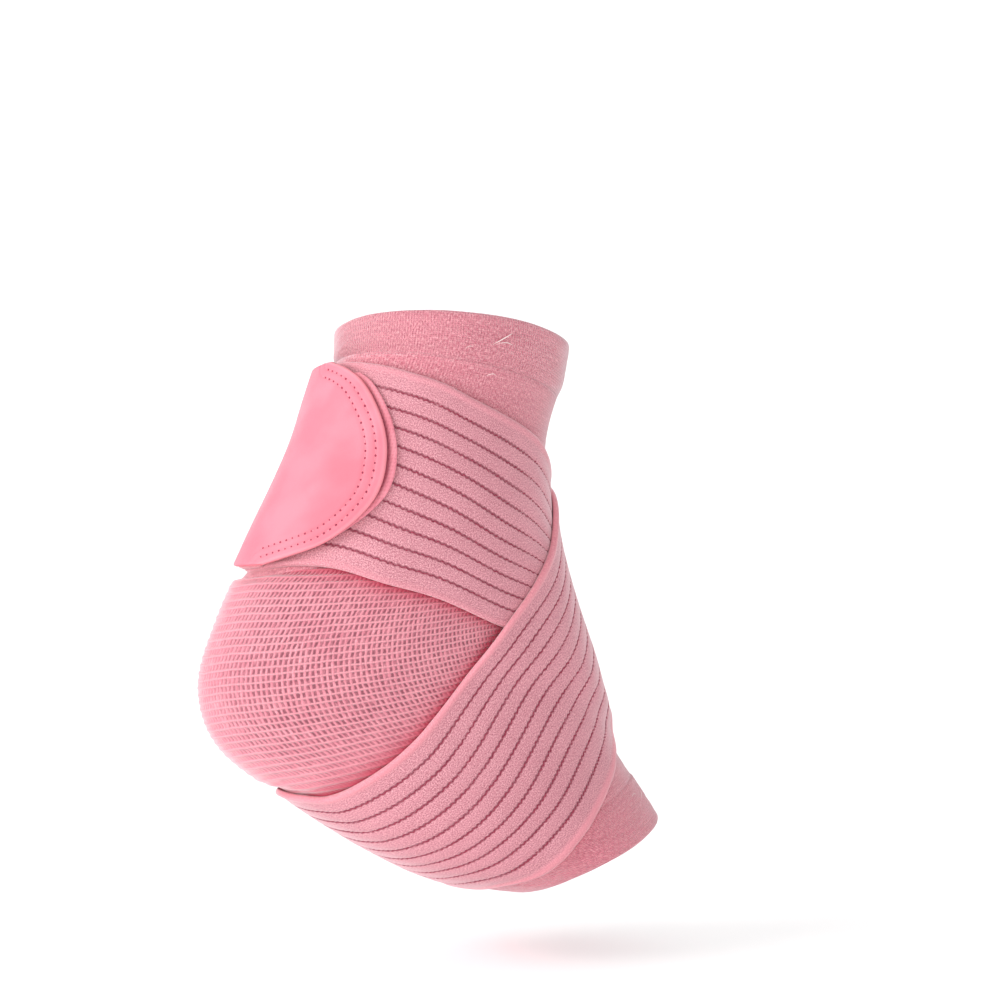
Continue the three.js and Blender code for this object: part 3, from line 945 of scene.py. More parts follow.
# %% Yarn fuzz group
yarn_fuzz, net, given, result = pattern_group(
    "yarn_fuzz", {"Place": (VECTOR, None), "Fineness": (FLOAT, 900.0)}, {"Fibres": FLOAT, "Mottle": FLOAT},
)
fine = net.noise(given["Place"], given["Fineness"], 3.0, 0.65)
stretch = net.scaled(given["Place"], (1.0, 1.0, 0.35))
streak = net.noise(stretch, net.times(given["Fineness"], 1.8), 2.0, 0.6)
net.feed(result["Fibres"], net.math("MULTIPLY_ADD", streak, 0.5, net.times(fine, 0.5)))
net.feed(result["Mottle"], net.noise(given["Place"], net.times(given["Fineness"], 0.06), 3.0, 0.55))
print("yarn_fuzz:", len(net.tree.nodes), "nodes")

# %% Fine knit group
fine_knit, net, given, result = pattern_group(
    "fine_knit",
    {"Map": (VECTOR, None), "Wale": (FLOAT, 1.0), "Course": (FLOAT, 1.0), "Waver": (FLOAT, 0.3)},
    {"Height": FLOAT, "Pit": FLOAT},
)
jitter = net.noise(given["Map"], 1.4, 2.0)
jitter = net.times(net.minus(jitter, 0.5), given["Waver"])
across, down_map = net.split(given["Map"])
wale = net.plus(net.math("DIVIDE", across, given["Wale"]), jitter)
row = net.plus(net.math("DIVIDE", down_map, given["Course"]), jitter)
wale_wave = net.math("COSINE", net.times(wale, 2 * math.pi))
slant = net.math("ABSOLUTE", net.minus(net.math("FRACT", wale), 0.5))
row_wave = net.math("COSINE", net.times(net.plus(row, slant), 2 * math.pi))
both = net.plus(net.times(wale_wave, 0.25), net.times(row_wave, 0.25))
net.feed(result["Height"], net.plus(both, 0.5))
net.feed(result["Pit"], net.ramp(both, -0.1, -0.42))
print("fine_knit:", len(net.tree.nodes), "nodes")

# %% Mottled knit group
mottled_knit, net, given, result = pattern_group(
    "mottled_knit", {"Map": (VECTOR, None)}, {"Band": FLOAT, "Fleck": FLOAT, "Pit": FLOAT, "Height": FLOAT},
)
height_out, pit_out = net.group(
    fine_knit, {"Map": given["Map"], "Wale": 0.95, "Course": 0.8, "Waver": 1.1}, (0, 1))
banded = net.scaled(given["Map"], (0.03, 0.75, 1.0))
net.feed(result["Band"], net.noise(banded, 1.0, 2.0))
upright = net.scaled(given["Map"], (1.7, 0.75, 1.0))
net.feed(result["Fleck"], net.noise(upright, 1.15, 3.0, 0.75))
net.feed(result["Pit"], pit_out)
net.feed(result["Height"], height_out)
print("mottled_knit:", len(net.tree.nodes), "nodes")

# %% Ladder knit group
ladder_knit, net, given, result = pattern_group(
    "ladder_knit", {"Map": (VECTOR, None), "Open": (FLOAT, 1.0)},
    {"Slot": FLOAT, "Ridge": FLOAT, "Height": FLOAT, "Rib": FLOAT},
)
across, down_count = net.split(given["Map"])
wander = net.noise(given["Map"], 0.55, 2.0)
course_at = net.plus(down_count, net.times(net.minus(wander, 0.5), 0.22))
phase_at = net.math("FRACT", course_at)
lean = net.ramp(down_count, 27.0, 58.0, -0.55, 0.4)
leaned = net.times(net.minus(phase_at, 0.5), lean)
side_wander = net.times(net.minus(net.noise(given["Map"], 1.3, 1.0), 0.5), 0.5)
slot_at = net.math("FRACT", net.plus(net.plus(across, leaned), side_wander))
slot_off = net.math("ABSOLUTE", net.minus(slot_at, 0.5))
in_slot = net.ramp(slot_off, 0.34, 0.12)
from_ridge = net.math("MINIMUM", phase_at, net.minus(1.0, phase_at))
ridge_at = net.ramp(from_ridge, 0.24, 0.05)
in_row = net.ramp(from_ridge, 0.09, 0.26)
uneven_slots = net.ramp(net.noise(given["Map"], 0.75, 2.0), 0.32, 0.58, 0.55, 1.0)
slot_mask = net.times(net.times(in_slot, in_row), uneven_slots)
slot_mask = net.times(slot_mask, given["Open"])
net.feed(result["Slot"], slot_mask)
rib_place = net.scaled(given["Map"], (2.6, 0.7, 1.0))
net.feed(result["Rib"], net.noise(rib_place, 1.0, 3.0, 0.75))
net.feed(result["Ridge"], ridge_at)
strands = net.times(net.math("COSINE", net.times(slot_at, 4 * math.pi)), 0.12)
relief = net.minus(net.plus(net.times(ridge_at, 0.6), strands), slot_mask)
net.feed(result["Height"], net.plus(relief, 1.0))
print("ladder_knit:", len(net.tree.nodes), "nodes")

# %% Woven elastic group
woven_elastic, net, given, result = pattern_group(
    "woven_elastic", {"Map": (VECTOR, None), "Pick": (FLOAT, 0.07), "Warp": (FLOAT, 0.09)},
    {"Height": FLOAT, "Speck": FLOAT},
)
along_map, across = net.split(given["Map"])
shake = net.times(net.noise(given["Map"], 9.0, 2.0), 1.1)
picks = net.plus(net.math("DIVIDE", along_map, given["Pick"]), shake)
warps = net.plus(net.math("DIVIDE", across, given["Warp"]), shake)
pick_wave = net.math("SINE", net.times(picks, 2 * math.pi))
warp_wave = net.math("SINE", net.times(warps, 2 * math.pi))
cloth = net.math("MULTIPLY_ADD", net.times(pick_wave, warp_wave), 0.3, 0.5)
net.feed(result["Height"], net.math("MULTIPLY_ADD", warp_wave, 0.15, cloth))
net.feed(result["Speck"], net.noise(given["Map"], 22.0, 3.0, 0.7))
print("woven_elastic:", len(net.tree.nodes), "nodes")

# %% [markdown]
# ## Materials
# All the cloth is one pink yarn, but each weave holds light in its own way: the ladder knit is pale with
# dark slots, the strap greyer with wine-dark dropped stitches, the cuffs warmer and mottled, and the
# satin tab smooth and bright. Cloth gets a soft sheen for its fuzz and little gloss.

# %% Material helpers
def linear(r, g, b):
    """A colour as it is seen, 11 to 255, turned to linear light."""
    return tuple(((c / 255 + 0.055) / 1.055) ** 2.4 for c in (r, g, b)) + (1.0,)


CLOTH_SPECULAR = 0.2
SHEEN_ROUGHNESS = 0.4
SHEEN_TINT = linear(255, 232, 236)
# The pale tint of the painted sheen, mixed into a colour where the cloth turns from view.
PAINTED_SHEEN_TINT = linear(255, 226, 232)
print("pale bloom:", [round(c, 2) for c in PAINTED_SHEEN_TINT])


def cloth_material(name, roughness, sheen=0.0):
    """A material with cloth's soft gloss, and the two maps that its pattern may follow."""
    material = bpy.data.materials.new(name)
    material.use_nodes = True
    shader = material.node_tree.nodes["Principled BSDF"]
    shader.inputs["Roughness"].default_value = roughness
    shader.inputs["Specular IOR Level"].default_value = CLOTH_SPECULAR
    shader.inputs["Sheen Weight"].default_value = sheen
    shader.inputs["Sheen Roughness"].default_value = SHEEN_ROUGHNESS
    shader.inputs["Sheen Tint"].default_value = SHEEN_TINT
    net = Net(material.node_tree)
    place = net.add("ShaderNodeTexCoord", out="Object")
    cloth_map = net.add("ShaderNodeUVMap", uv_map="cloth")
    return material, shader, net, place, cloth_map


def painted_sheen(net, body, strength):
    """The colour with a painted sheen: a pale tint where the cloth turns from view, as light on fuzzy yarn
    looks.
    """
    turned_away = net.add("ShaderNodeLayerWeight", {"Blend": 0.5}, out="Facing")
    return net.mix(net.times(net.ramp(turned_away, 0.45, 1.0), strength), body, PAINTED_SHEEN_TINT)


def tinted(net, body, mask, share, colour):
    """The colour with a share of another one where the mask is."""
    return net.mix(net.times(mask, share), body, linear(*colour))


def bump(net, height, distance, strength=1.0, normal=None):
    return net.add("ShaderNodeBump", {"Strength": strength, "Distance": distance, "Height": height,
                                      "Normal": normal})


# %% [markdown]
# ## The fine knit's colour
# The cuffs and the sleeve's plain ends are one fine knit, mottled by uneven yarn. Wide bands, pale and
# dark flecks and small pits are mixed in that order, each by its own value from the pattern group.

# %% Cuff colour, which the sleeve's ends share
def cuff_colour(net, map_mm, fibres):
    """The mottled pink of the cuffs, from a map in millimetres, with the height of its knit."""
    band, fleck, pit, height = net.group(mottled_knit, {"Map": map_mm}, (0, 1, 2, 3))
    body = net.mix(net.ramp(band, 0.36, 0.64), linear(221, 129, 144), linear(231, 142, 156))
    body = tinted(net, body, net.ramp(fleck, 0.50, 0.64), 0.95, (254, 186, 194))
    body = tinted(net, body, net.ramp(fleck, 0.50, 0.36), 0.85, (192, 84, 105))
    body = tinted(net, body, pit, 0.4, (184, 84, 104))
    return tinted(net, body, fibres, 0.2, (255, 206, 214)), height


# %% [markdown]
# ## The ladder knit's material
# The ladder group says where the pale courses and the dark slots are, and each gets its colour here. The
# knit fades into the fine one towards both ends, and it is deep red where it dips under the strap, because
# little light gets in there.

# %% Heel knit material
COURSE_MM = 2.3
heel_material, shader, net, place, cloth_map = cloth_material("heel_knit", 0.9, 0.8)
fibres, mottle = net.group(yarn_fuzz, {"Place": place, "Fineness": 1500.0}, (0, 1))
open_at = net.stored("openness")
heel_at = net.stored("heelward")
ladder = {"Map": cloth_map, "Open": open_at}
slot_at, ridge_at, knit_height, rib_at = net.group(ladder_knit, ladder, (0, 1, 2, 3))
under_at = net.stored("under_strap")
knit_scale = (KNIT_ROUND_MM / SLOTS_ROUND, COURSE_MM, 1.0)
in_mm = net.scaled(cloth_map, knit_scale)
plain, plain_height = cuff_colour(net, in_mm, fibres)
body = net.mix(net.ramp(mottle, 0.35, 0.65), linear(220, 128, 144), linear(231, 142, 156))
body = tinted(net, body, net.ramp(rib_at, 0.50, 0.32), 0.6, (194, 96, 114))
body = tinted(net, body, net.ramp(rib_at, 0.52, 0.70), 0.5, (255, 184, 194))
body = tinted(net, body, ridge_at, 0.6, (242, 160, 173))
body = tinted(net, body, slot_at, 0.95, (118, 36, 58))
body = tinted(net, body, fibres, 0.22, (255, 206, 214))
body = net.mix(heel_at, plain, body)
body = tinted(net, body, under_at, 0.9, (190, 56, 80))
# Painted sheen: the colour turns pale where the knit turns from view.
net.feed(shader.inputs["Base Color"], painted_sheen(net, body, 0.5))
knit_relief = net.plus(net.times(knit_height, heel_at),
                       net.times(plain_height, net.minus(1.0, heel_at)))
relief = bump(net, knit_relief, 0.0006, 0.7)
net.feed(shader.inputs["Normal"], bump(net, fibres, 0.00025, 0.5, relief))
print("heel_knit:", len(net.tree.nodes), "nodes")

# %% Cuff materials
def cuff_material(name, sheen_paint, painted_light_tint):
    """The knit of a cuff, with its share of painted pale sheen and of a red tint painted in for light it
    lacks.
    """
    material, shader, net, place, cloth_map = cloth_material(name, 0.92, 1.0)
    fibres = net.group(yarn_fuzz, {"Place": place, "Fineness": 1300.0})
    body, knit_height = cuff_colour(net, cloth_map, fibres)
    # Painted light: a red tint stands in for more light on the cuff.
    body = net.mix(painted_light_tint, body, linear(252, 122, 146))
    # Painted sheen: the colour turns pale where the cuff turns from view.
    net.feed(shader.inputs["Base Color"], painted_sheen(net, body, sheen_paint))
    relief = bump(net, knit_height, 0.0006, 0.8)
    net.feed(shader.inputs["Normal"], bump(net, fibres, 0.0003, 0.6, relief))
    return material


# The foot cuff takes less painted sheen, and a red tint painted in for light that it lacks.
ankle_cuff_material = cuff_material("ankle_cuff_knit", 0.75, 0.0)
foot_cuff_material = cuff_material("foot_cuff_knit", 0.3, 0.2)
print("cuffs:", ankle_cuff_material.name, "and", foot_cuff_material.name)

# %% [markdown]
# ## The strap's material
# The woven ground is grey pink with pale and dark specks. Its selvedges are plainer and warmer, more so
# on the second turn, and the dropped stitches are wine red, worn away in patches as on the real cloth.

# %% Strap material
strap_material, shader, net, place, cloth_map = cloth_material("strap_elastic", 0.85, 0.65)
fibres, mottle = net.group(yarn_fuzz, {"Place": place, "Fineness": 1500.0}, (0, 1))
weave, speck = net.group(woven_elastic, {"Map": cloth_map}, (0, 1))
line_at = net.stored("line")
along_cm, cross = net.split(cloth_map)
from_edge = net.math("MINIMUM", cross, net.minus(STRAP_WIDTH * CM_PER_M, cross))
rim_at = net.ramp(from_edge, 0.36, 0.18)
second_turn_cm = float(np.interp(360, fine_way, run)) * CM_PER_M
print("the second turn starts at", round(second_turn_cm, 1), "cm")
turn_two = net.ramp(along_cm, second_turn_cm - 2, second_turn_cm, 0.3, 0.65)
body = net.mix(net.ramp(mottle, 0.3, 0.7), linear(208, 132, 145), linear(216, 140, 153))
body = tinted(net, body, net.ramp(speck, 0.50, 0.62), 0.9, (250, 190, 198))
body = tinted(net, body, net.ramp(speck, 0.50, 0.38), 0.75, (168, 84, 102))
body = net.mix(net.times(rim_at, turn_two), body, linear(246, 152, 165))
patchy = net.scaled(cloth_map, (0.55, 3.0, 1.0))
worn = net.ramp(net.noise(patchy, 1.0, 2.0), 0.28, 0.45, 0.45, 1.0)
dark = net.times(net.times(net.ramp(line_at, 0.08, 0.6), worn), 0.82)
body = net.mix(dark, body, linear(132, 44, 66))
body = tinted(net, body, fibres, 0.2, (250, 200, 208))
# Painted sheen: the colour turns pale where the strap turns from view.
net.feed(shader.inputs["Base Color"], painted_sheen(net, body, 0.5))
relief = bump(net, net.math("MULTIPLY_ADD", speck, 1.5, net.times(weave, 0.4)), 0.0003, 0.8)
net.feed(shader.inputs["Normal"], bump(net, fibres, 0.0002, 0.5, relief))
print("strap_elastic:", len(net.tree.nodes), "nodes")

# %% [markdown]
# ## Tab, tape and thread
# The tab is smoother than the rest, so it has less roughness, no sheen and a fine grain. The hook tape is
# a coarse knit, with painted shadow in the gap beneath the tab. The threads differ only in colour and
# roughness, so one helper makes them all.

# %% Tab material
tab_material, shader, net, place, cloth_map = cloth_material("tab_satin", 0.5)
grain = net.noise(cloth_map, 14.0, 3.0, 0.6)
clouds = net.noise(cloth_map, 0.55, 2.0)
edge_at = net.stored("from_round")
body = net.mix(net.ramp(clouds, 0.35, 0.65), linear(234, 124, 140), linear(240, 136, 151))
body = tinted(net, body, net.ramp(edge_at, 0.14, 0.02), 0.55, (250, 166, 176))
body = tinted(net, body, grain, 0.14, (216, 104, 122))
net.feed(shader.inputs["Base Color"], body)
net.feed(shader.inputs["Roughness"], net.ramp(grain, 0.3, 0.7, 0.42, 0.54))
net.feed(shader.inputs["Normal"], bump(net, grain, 0.00008, 0.5))
print("tab_satin:", len(net.tree.nodes), "nodes")

# %% Hook tape material
backing_material, shader, net, place, cloth_map = cloth_material("tab_backing", 0.8, 0.25)
fibres, mottle = net.group(yarn_fuzz, {"Place": place, "Fineness": 1200.0}, (0, 1))
coarse = {"Map": cloth_map, "Wale": 0.12, "Course": 0.14, "Waver": 0.2}
hooks, hook_pit = net.group(fine_knit, coarse, (0, 1))
body = net.mix(net.ramp(mottle, 0.35, 0.65), linear(236, 140, 156), linear(246, 156, 170))
body = tinted(net, body, hook_pit, 0.3, (204, 100, 120))
tab_shadow_at = net.stored("from_round")
# Painted shadow: the tape turns deep red in the gap beneath the tab's rim.
body = tinted(net, body, net.ramp(tab_shadow_at, 0.13, 0.24), 0.8, (150, 54, 74))
net.feed(shader.inputs["Base Color"], body)
net.feed(shader.inputs["Normal"], bump(net, hooks, 0.0003, 0.5, bump(net, fibres, 0.0002, 0.4)))
print("tab_backing:", len(net.tree.nodes), "nodes")


# %% Thread materials
def thread_material(name, colour, second, roughness):
    """A twisted thread of two colours."""
    material, shader, net, place, _ = cloth_material(name, roughness, 0.2)
    twist = net.noise(place, 2600.0, 2.0)
    body = net.mix(net.ramp(twist, 0.35, 0.65), linear(*colour), linear(*second))
    net.feed(shader.inputs["Base Color"], body)
    net.feed(shader.inputs["Normal"], bump(net, twist, 0.0001, 0.5))
    return material


stitch_material = thread_material("tab_thread", (236, 132, 148), (246, 150, 164), 0.6)
hole_material = thread_material("stitch_hole", (140, 52, 74), (166, 72, 92), 0.9)
picot_material = thread_material("dropped_stitch", (138, 52, 72), (176, 80, 98), 0.9)
pale_material = thread_material("loose_fibre", (255, 226, 226), (255, 240, 238), 0.7)
print(len(bpy.data.materials), "materials")

# %% [markdown]
# ## Stitches that are set along paths
# A stitch repeats along a path, and a list of copies would say little about it, so a node tree sets it.
# The tree takes a path whose points carry the way out of the cloth, cuts it to an even pitch, and sets one
# small part on each point, turned to the path. The same tree sets the tab's thread, its needle holes and
# the dark loops of the dropped stitches.

# %% The small part that is repeated
def part_mesh(name, length, width, height, sides=6, bands=4):
    """A small closed bead that lies along X, to be set many times."""
    points, faces = [], []
    for k in range(1, bands):
        a = math.pi * k / bands
        for s in range(sides):
            b = 2 * math.pi * s / sides
            points.append((-math.cos(a) * length / 2, math.sin(a) * math.cos(b) * width / 2,
                           math.sin(a) * math.sin(b) * height / 2))
    count = len(points)
    points += [(-length / 2, 0, 0), (length / 2, 0, 0)]
    for k in range(bands - 2):
        for s in range(sides):
            n = (s + 1) % sides
            faces.append((k * sides + s, k * sides + n, (k + 1) * sides + n, (k + 1) * sides + s))
    for s in range(sides):
        n = (s + 1) % sides
        last = (bands - 2) * sides
        faces.append((count, n, s))
        faces.append((count + 1, last + s, last + n))
    mesh = bpy.data.meshes.new(name)
    mesh.from_pydata(points, [], faces)
    mesh.polygons.foreach_set("use_smooth", [True] * len(mesh.polygons))
    made = bpy.data.objects.new(name, mesh)
    face_out(made)
    print(name, len(mesh.polygons), "faces")
    return made


# %% Stitch tree
SIZE_SEED = 7


def stitch_tree():
    """The node tree that sets a part along a path, and the identifiers of its inputs."""
    tree = bpy.data.node_groups.new("set_along_path", "GeometryNodeTree")
    sockets = {}
    for key, kind, value in (
        ("Path", "NodeSocketGeometry", None), ("Part", "NodeSocketObject", None), ("Pitch", FLOAT, 0.003),
        ("Size", FLOAT, 1.0), ("Uneven", FLOAT, 0.1), ("Material", "NodeSocketMaterial", None),
    ):
        sockets[key] = tree.interface.new_socket(name=key, in_out="INPUT", socket_type=kind)
        if value is not None:
            sockets[key].default_value = value
    tree.interface.new_socket(name="Stitches", in_out="OUTPUT", socket_type="NodeSocketGeometry")
    net = Net(tree)
    start, end = tree.nodes.new("NodeGroupInput").outputs, tree.nodes.new("NodeGroupOutput").inputs
    curve = net.add("GeometryNodeMeshToCurve", {"Mesh": start["Path"]})
    even = tree.nodes.new("GeometryNodeResampleCurve")
    even.mode = "LENGTH"
    net.feed(even.inputs["Curve"], curve)
    net.feed(even.inputs["Length"], start["Pitch"])
    out = tree.nodes.new("GeometryNodeInputNamedAttribute")
    out.data_type = "FLOAT_VECTOR"
    out.inputs["Name"].default_value = "out"
    tangent = tree.nodes.new("GeometryNodeInputTangent").outputs[0]
    upright = net.add("FunctionNodeAlignRotationToVector", {"Vector": out.outputs[0]}, axis="Z")
    turned = net.add("FunctionNodeAlignRotationToVector", {"Rotation": upright, "Vector": tangent},
                     axis="X", pivot_axis="Z")
    part = tree.nodes.new("GeometryNodeObjectInfo")
    net.feed(part.inputs["Object"], start["Part"])
    chance = tree.nodes.new("FunctionNodeRandomValue")
    chance.inputs["Seed"].default_value = SIZE_SEED
    net.feed(chance.inputs[2], net.minus(start["Size"], start["Uneven"]))
    net.feed(chance.inputs[3], net.plus(start["Size"], start["Uneven"]))
    placed = net.add("GeometryNodeInstanceOnPoints", {
        "Points": even.outputs[0], "Instance": part.outputs["Geometry"], "Rotation": turned,
        "Scale": chance.outputs[1],
    })
    real = net.add("GeometryNodeRealizeInstances", {"Geometry": placed})
    finished = net.add("GeometryNodeSetMaterial", {"Geometry": real, "Material": start["Material"]})
    net.feed(end["Stitches"], finished)
    return tree, {key: socket.identifier for key, socket in sockets.items()}


set_along_path, stitch_inputs = stitch_tree()
print("the tree's inputs:", ", ".join(stitch_inputs))


# %% Paths and the plain mesh that the tree makes of them
def path_mesh(name, lines, normals):
    """Polylines whose points carry the way out of the cloth."""
    mesh = bpy.data.meshes.new(name)
    points = np.concatenate(lines)
    edges, start = [], 0
    for line in lines:
        edges += [(start + k, start + k + 1) for k in range(len(line) - 1)]
        start += len(line)
    mesh.from_pydata(points.tolist(), edges, [])
    layer = mesh.attributes.new("out", "FLOAT_VECTOR", "POINT")
    layer.data.foreach_set("vector", np.concatenate(normals).astype(np.float32).ravel())
    made = bpy.data.objects.new(name, mesh)
    scene.collection.objects.link(made)
    return made


def stitches(name, lines, normals, part, pitch, size, uneven, material):
    """Sets a part along paths and gives the plain mesh that this makes."""
    path = path_mesh(name + "_path", lines, normals)
    modifier = path.modifiers.new("stitches", "NODES")
    modifier.node_group = set_along_path
    for key, value in (("Part", part), ("Pitch", pitch), ("Size", size), ("Uneven", uneven),
                       ("Material", material)):
        modifier[stitch_inputs[key]] = value
    bpy.context.view_layer.update()
    evaluated = path.evaluated_get(bpy.context.evaluated_depsgraph_get())
    mesh = bpy.data.meshes.new_from_object(evaluated)
    mesh.name = name
    made = bpy.data.objects.new(name, mesh)
    scene.collection.objects.link(made)
    path.modifiers.remove(modifier)
    bpy.data.objects.remove(path)
    if not mesh.materials:
        mesh.materials.append(material)
    print(name, len(mesh.polygons), "faces")
    return made


# %% [markdown]
# ## The tab's two rows of stitches
# Thread lies on the tab and dips into a needle hole between two stitches. Both rows follow the round edge
# at an even distance, so the edge's flat line is moved inwards and then laid on the tab. The holes use
# the same path, begun half a stitch later.

# %% Tab stitches
STITCH_PITCH = 2.55 * MM
STITCH_LENGTH = 1.7 * MM
STITCH_WIDTH = 0.4 * MM
STITCH_HEIGHT = 0.3 * MM
HOLE_WIDTH = 0.9 * MM
HOLE_DEPTH = 0.4 * MM
ROW_END = 16 * MM


def inset_line(line, distance):
    """A flat outline moved inwards, with its ends trimmed where they come near the straight edge."""
    way = np.gradient(line, axis=0)
    way /= np.linalg.norm(way, axis=1, keepdims=True)
    inward = np.stack([-way[:, 1], way[:, 0]], -1)
    if inward[len(line) // 2, 0] > 0:
        inward = -inward
    moved = line + inward * distance
    own = to_outline(moved, line) > distance * 0.97
    return moved[own & (moved[:, 0] > ROW_END)]


def tab_top(flat):
    """Flat places of the tab, on its finished face."""
    inset = to_outline(flat, tab_line)
    profile = tab_profile(inset, inset, flat)
    return patch_place(flat, tab_height, TAB_THICKNESS * profile)


stitch_lines, stitch_normals = [], []
for inset_mm in STITCH_INSETS_MM:
    flat = inset_line(tab_line, inset_mm * MM)
    stitch_lines.append(tab_top(flat))
    degrees = TAB_BACK - flat[:, 0] * DEGREES_PER_M
    stitch_normals.append(sleeve_normal(lerp(upper_edge, lower_edge, flat[:, 1] / STRAP_WIDTH), degrees))
thread_part = part_mesh("thread_part", STITCH_LENGTH, STITCH_WIDTH, STITCH_HEIGHT)
hole_part = part_mesh("hole_part", HOLE_WIDTH, HOLE_WIDTH, HOLE_DEPTH)
tab_thread = stitches("tab_stitching", stitch_lines, stitch_normals, thread_part, STITCH_PITCH, 1.0, 0.06,
                      stitch_material)


# %% Needle holes
def starting_at(line, normals, offset, points=400):
    """The same path, begun a little way on."""
    far = walked(line)
    at = np.linspace(offset, far[-1], points)
    return [np.stack([np.interp(at, far, grid[:, k]) for k in range(3)], -1) for grid in (line, normals)]


half_on = [starting_at(line, way, STITCH_PITCH / 2) for line, way in zip(stitch_lines, stitch_normals)]
tab_holes = stitches("tab_needle_holes", [h[0] for h in half_on], [h[1] for h in half_on], hole_part,
                     STITCH_PITCH, 1.0, 0.15, hole_material)

# %% [markdown]
# ## The strap's dropped stitches
# In each groove lies a row of dark loops that follows its zigzag. They are thousands, so each is a bead
# of few faces.

# %% Dropped stitches
PICOT_LENGTH = 1.25 * MM
PICOT_WIDTH = 0.8 * MM
PICOT_HEIGHT = 0.64 * MM
PICOT_ASIDE = 0.22 * MM
PICOT_RISE = 0.06 * MM
END_STATIONS = 4
picot_height = STRAP_THICKNESS - GROOVE_DEPTH + PICOT_RISE
strap_upper, strap_lower = strap_edges(turned_from(station_way))
picot_lines, picot_normals = [], []
for place in line_places:
    share = (place + zigzag(station_run) * ZIGZAG_SWING + PICOT_ASIDE) / STRAP_WIDTH
    line = strap_point(station_way, share, picot_height + 0 * share)
    normals = sleeve_normal(lerp(strap_upper, strap_lower, share), 180 - station_way)
    picot_lines.append(line[END_STATIONS:-END_STATIONS])
    picot_normals.append(normals[END_STATIONS:-END_STATIONS])
picot_part = part_mesh("picot_part", PICOT_LENGTH, PICOT_WIDTH, PICOT_HEIGHT, sides=5, bands=3)
dropped = stitches("strap_dropped_stitches", picot_lines, picot_normals, picot_part, ZIGZAG_PITCH / 2, 1.0,
                   0.28, picot_material)

# %% [markdown]
# ## Loose fibres
# A few pale ends of yarn stand out of the knit near both rims. Hair strands could show them, but six thin
# closed tubes, each curved through three places, are simple and can be counted.

# %% One loose fibre
TIP_TAPER, END_TAPER = 0.25, 0.15


def fibre(start, middle, end, thickness, sides=5, steps=14):
    """Points and faces of a thin tapered tube through three places, each (along, degrees, height in mm)."""
    places = np.array([start, middle, end], float)
    t = np.linspace(0, 1, steps)[:, None]
    bend = (1 - t) ** 2 * places[0] + 2 * t * (1 - t) * places[1] + t**2 * places[2]
    line = off_sleeve(bend[:, 0], bend[:, 1], bend[:, 2] * MM)
    way = np.gradient(line, axis=0)
    way /= np.linalg.norm(way, axis=1, keepdims=True)
    side_a = np.cross(way, [0.31, 0.2, 0.93])
    side_a /= np.linalg.norm(side_a, axis=1, keepdims=True)
    side_b = np.cross(way, side_a)
    radius = thickness / 2 * np.sin(np.linspace(TIP_TAPER, math.pi - END_TAPER, steps))
    angles = 2 * math.pi * np.arange(sides) / sides
    angles = angles[None, :, None]
    across = np.cos(angles) * side_a[:, None] + np.sin(angles) * side_b[:, None]
    rings = line[:, None] + radius[:, None, None] * across
    faces = []
    for k in range(steps - 1):
        for s in range(sides):
            n = (s + 1) % sides
            faces.append((k * sides + s, k * sides + n, (k + 1) * sides + n, (k + 1) * sides + s))
    faces.append(tuple(range(sides))[::-1])
    faces.append(tuple((steps - 1) * sides + s for s in range(sides)))
    return rings.reshape(-1, 3), faces


# %% Loose fibres
FIBRES = (
    ((0.022, 73, 1.0), (0.030, 77, 2.0), (0.043, 83, 1.0), 0.42 * MM),
    ((0.040, 72, 1.0), (0.033, 76, 1.8), (0.042, 81, 1.0), 0.28 * MM),
    ((0.088, 77, 0.6), (0.082, 79, 1.4), (0.091, 82, 0.4), 0.26 * MM),
    ((0.050, 92, 1.0), (0.046, 94, 1.5), (0.053, 96, 1.0), 0.18 * MM),
    ((0.962, 22, 0.1), (0.955, 27, 1.6), (0.966, 31, 0.1), 0.26 * MM),
    ((0.955, 33, 0.1), (0.947, 36, 1.4), (0.953, 40, 0.1), 0.22 * MM),
)


def fibres_mesh():
    """All the loose fibres as one mesh."""
    mesh = bpy.data.meshes.new("loose_yarn_fibres")
    points, faces = [], []
    for start, middle, end, thickness in FIBRES:
        rings, made = fibre(start, middle, end, thickness)
        faces += [tuple(len(points) + v for v in face) for face in made]
        points += rings.tolist()
    mesh.from_pydata(points, [], faces)
    mesh.polygons.foreach_set("use_smooth", [True] * len(mesh.polygons))
    made = bpy.data.objects.new("loose_yarn_fibres", mesh)
    scene.collection.objects.link(made)
    face_out(made)
    return made


fibres_piece = fibres_mesh()
print(len(FIBRES), "loose fibres")

# %% [markdown]
# ## Dressing the frame
# Every piece rides on the brace's one body, stands for its solid where it has one, and takes its material.

# %% Dress
def area_of(piece):
    """Half of a thin piece's surface: the cloth in it, as it is worn."""
    return sum(p.area for p in piece.data.polygons) / 2


def dress(piece, material, slot, *nodes):
    piece.data.materials.clear()
    piece.data.materials.append(material)
    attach(piece, "root")
    if nodes:
        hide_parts(*nodes)
    print(piece.name, "stands for", ", ".join(nodes) or "no solid of its own")


dress(heel_knit_piece, heel_material, "heel_knit", "heel_sleeve")
dress(ankle_cuff_piece, ankle_cuff_material, "cuff_knit", "ankle_cuff")
dress(foot_cuff_piece, foot_cuff_material, "cuff_knit", "foot_cuff")
dress(strap_piece, strap_material, "strap_elastic", "wrap_strap")
dress(tab_piece, tab_material, "tab_satin", "strap_tab")
dress(backing_piece, backing_material, "tab_backing", "tab_backing")
dress(tab_thread, stitch_material, "tab_satin")
dress(tab_holes, hole_material, "tab_satin")
dress(dropped, picot_material, "strap_elastic")
dress(fibres_piece, pale_material, "cuff_knit")

# %% [markdown]
# ## Flat sizes
# A knitted tube laid flat is as wide as its girth. Its length, and the depth of a hem, follow from the
# cloth that the finished mesh holds. The strap's length is its way round the brace, and the hook tape is
# cut to its plan.


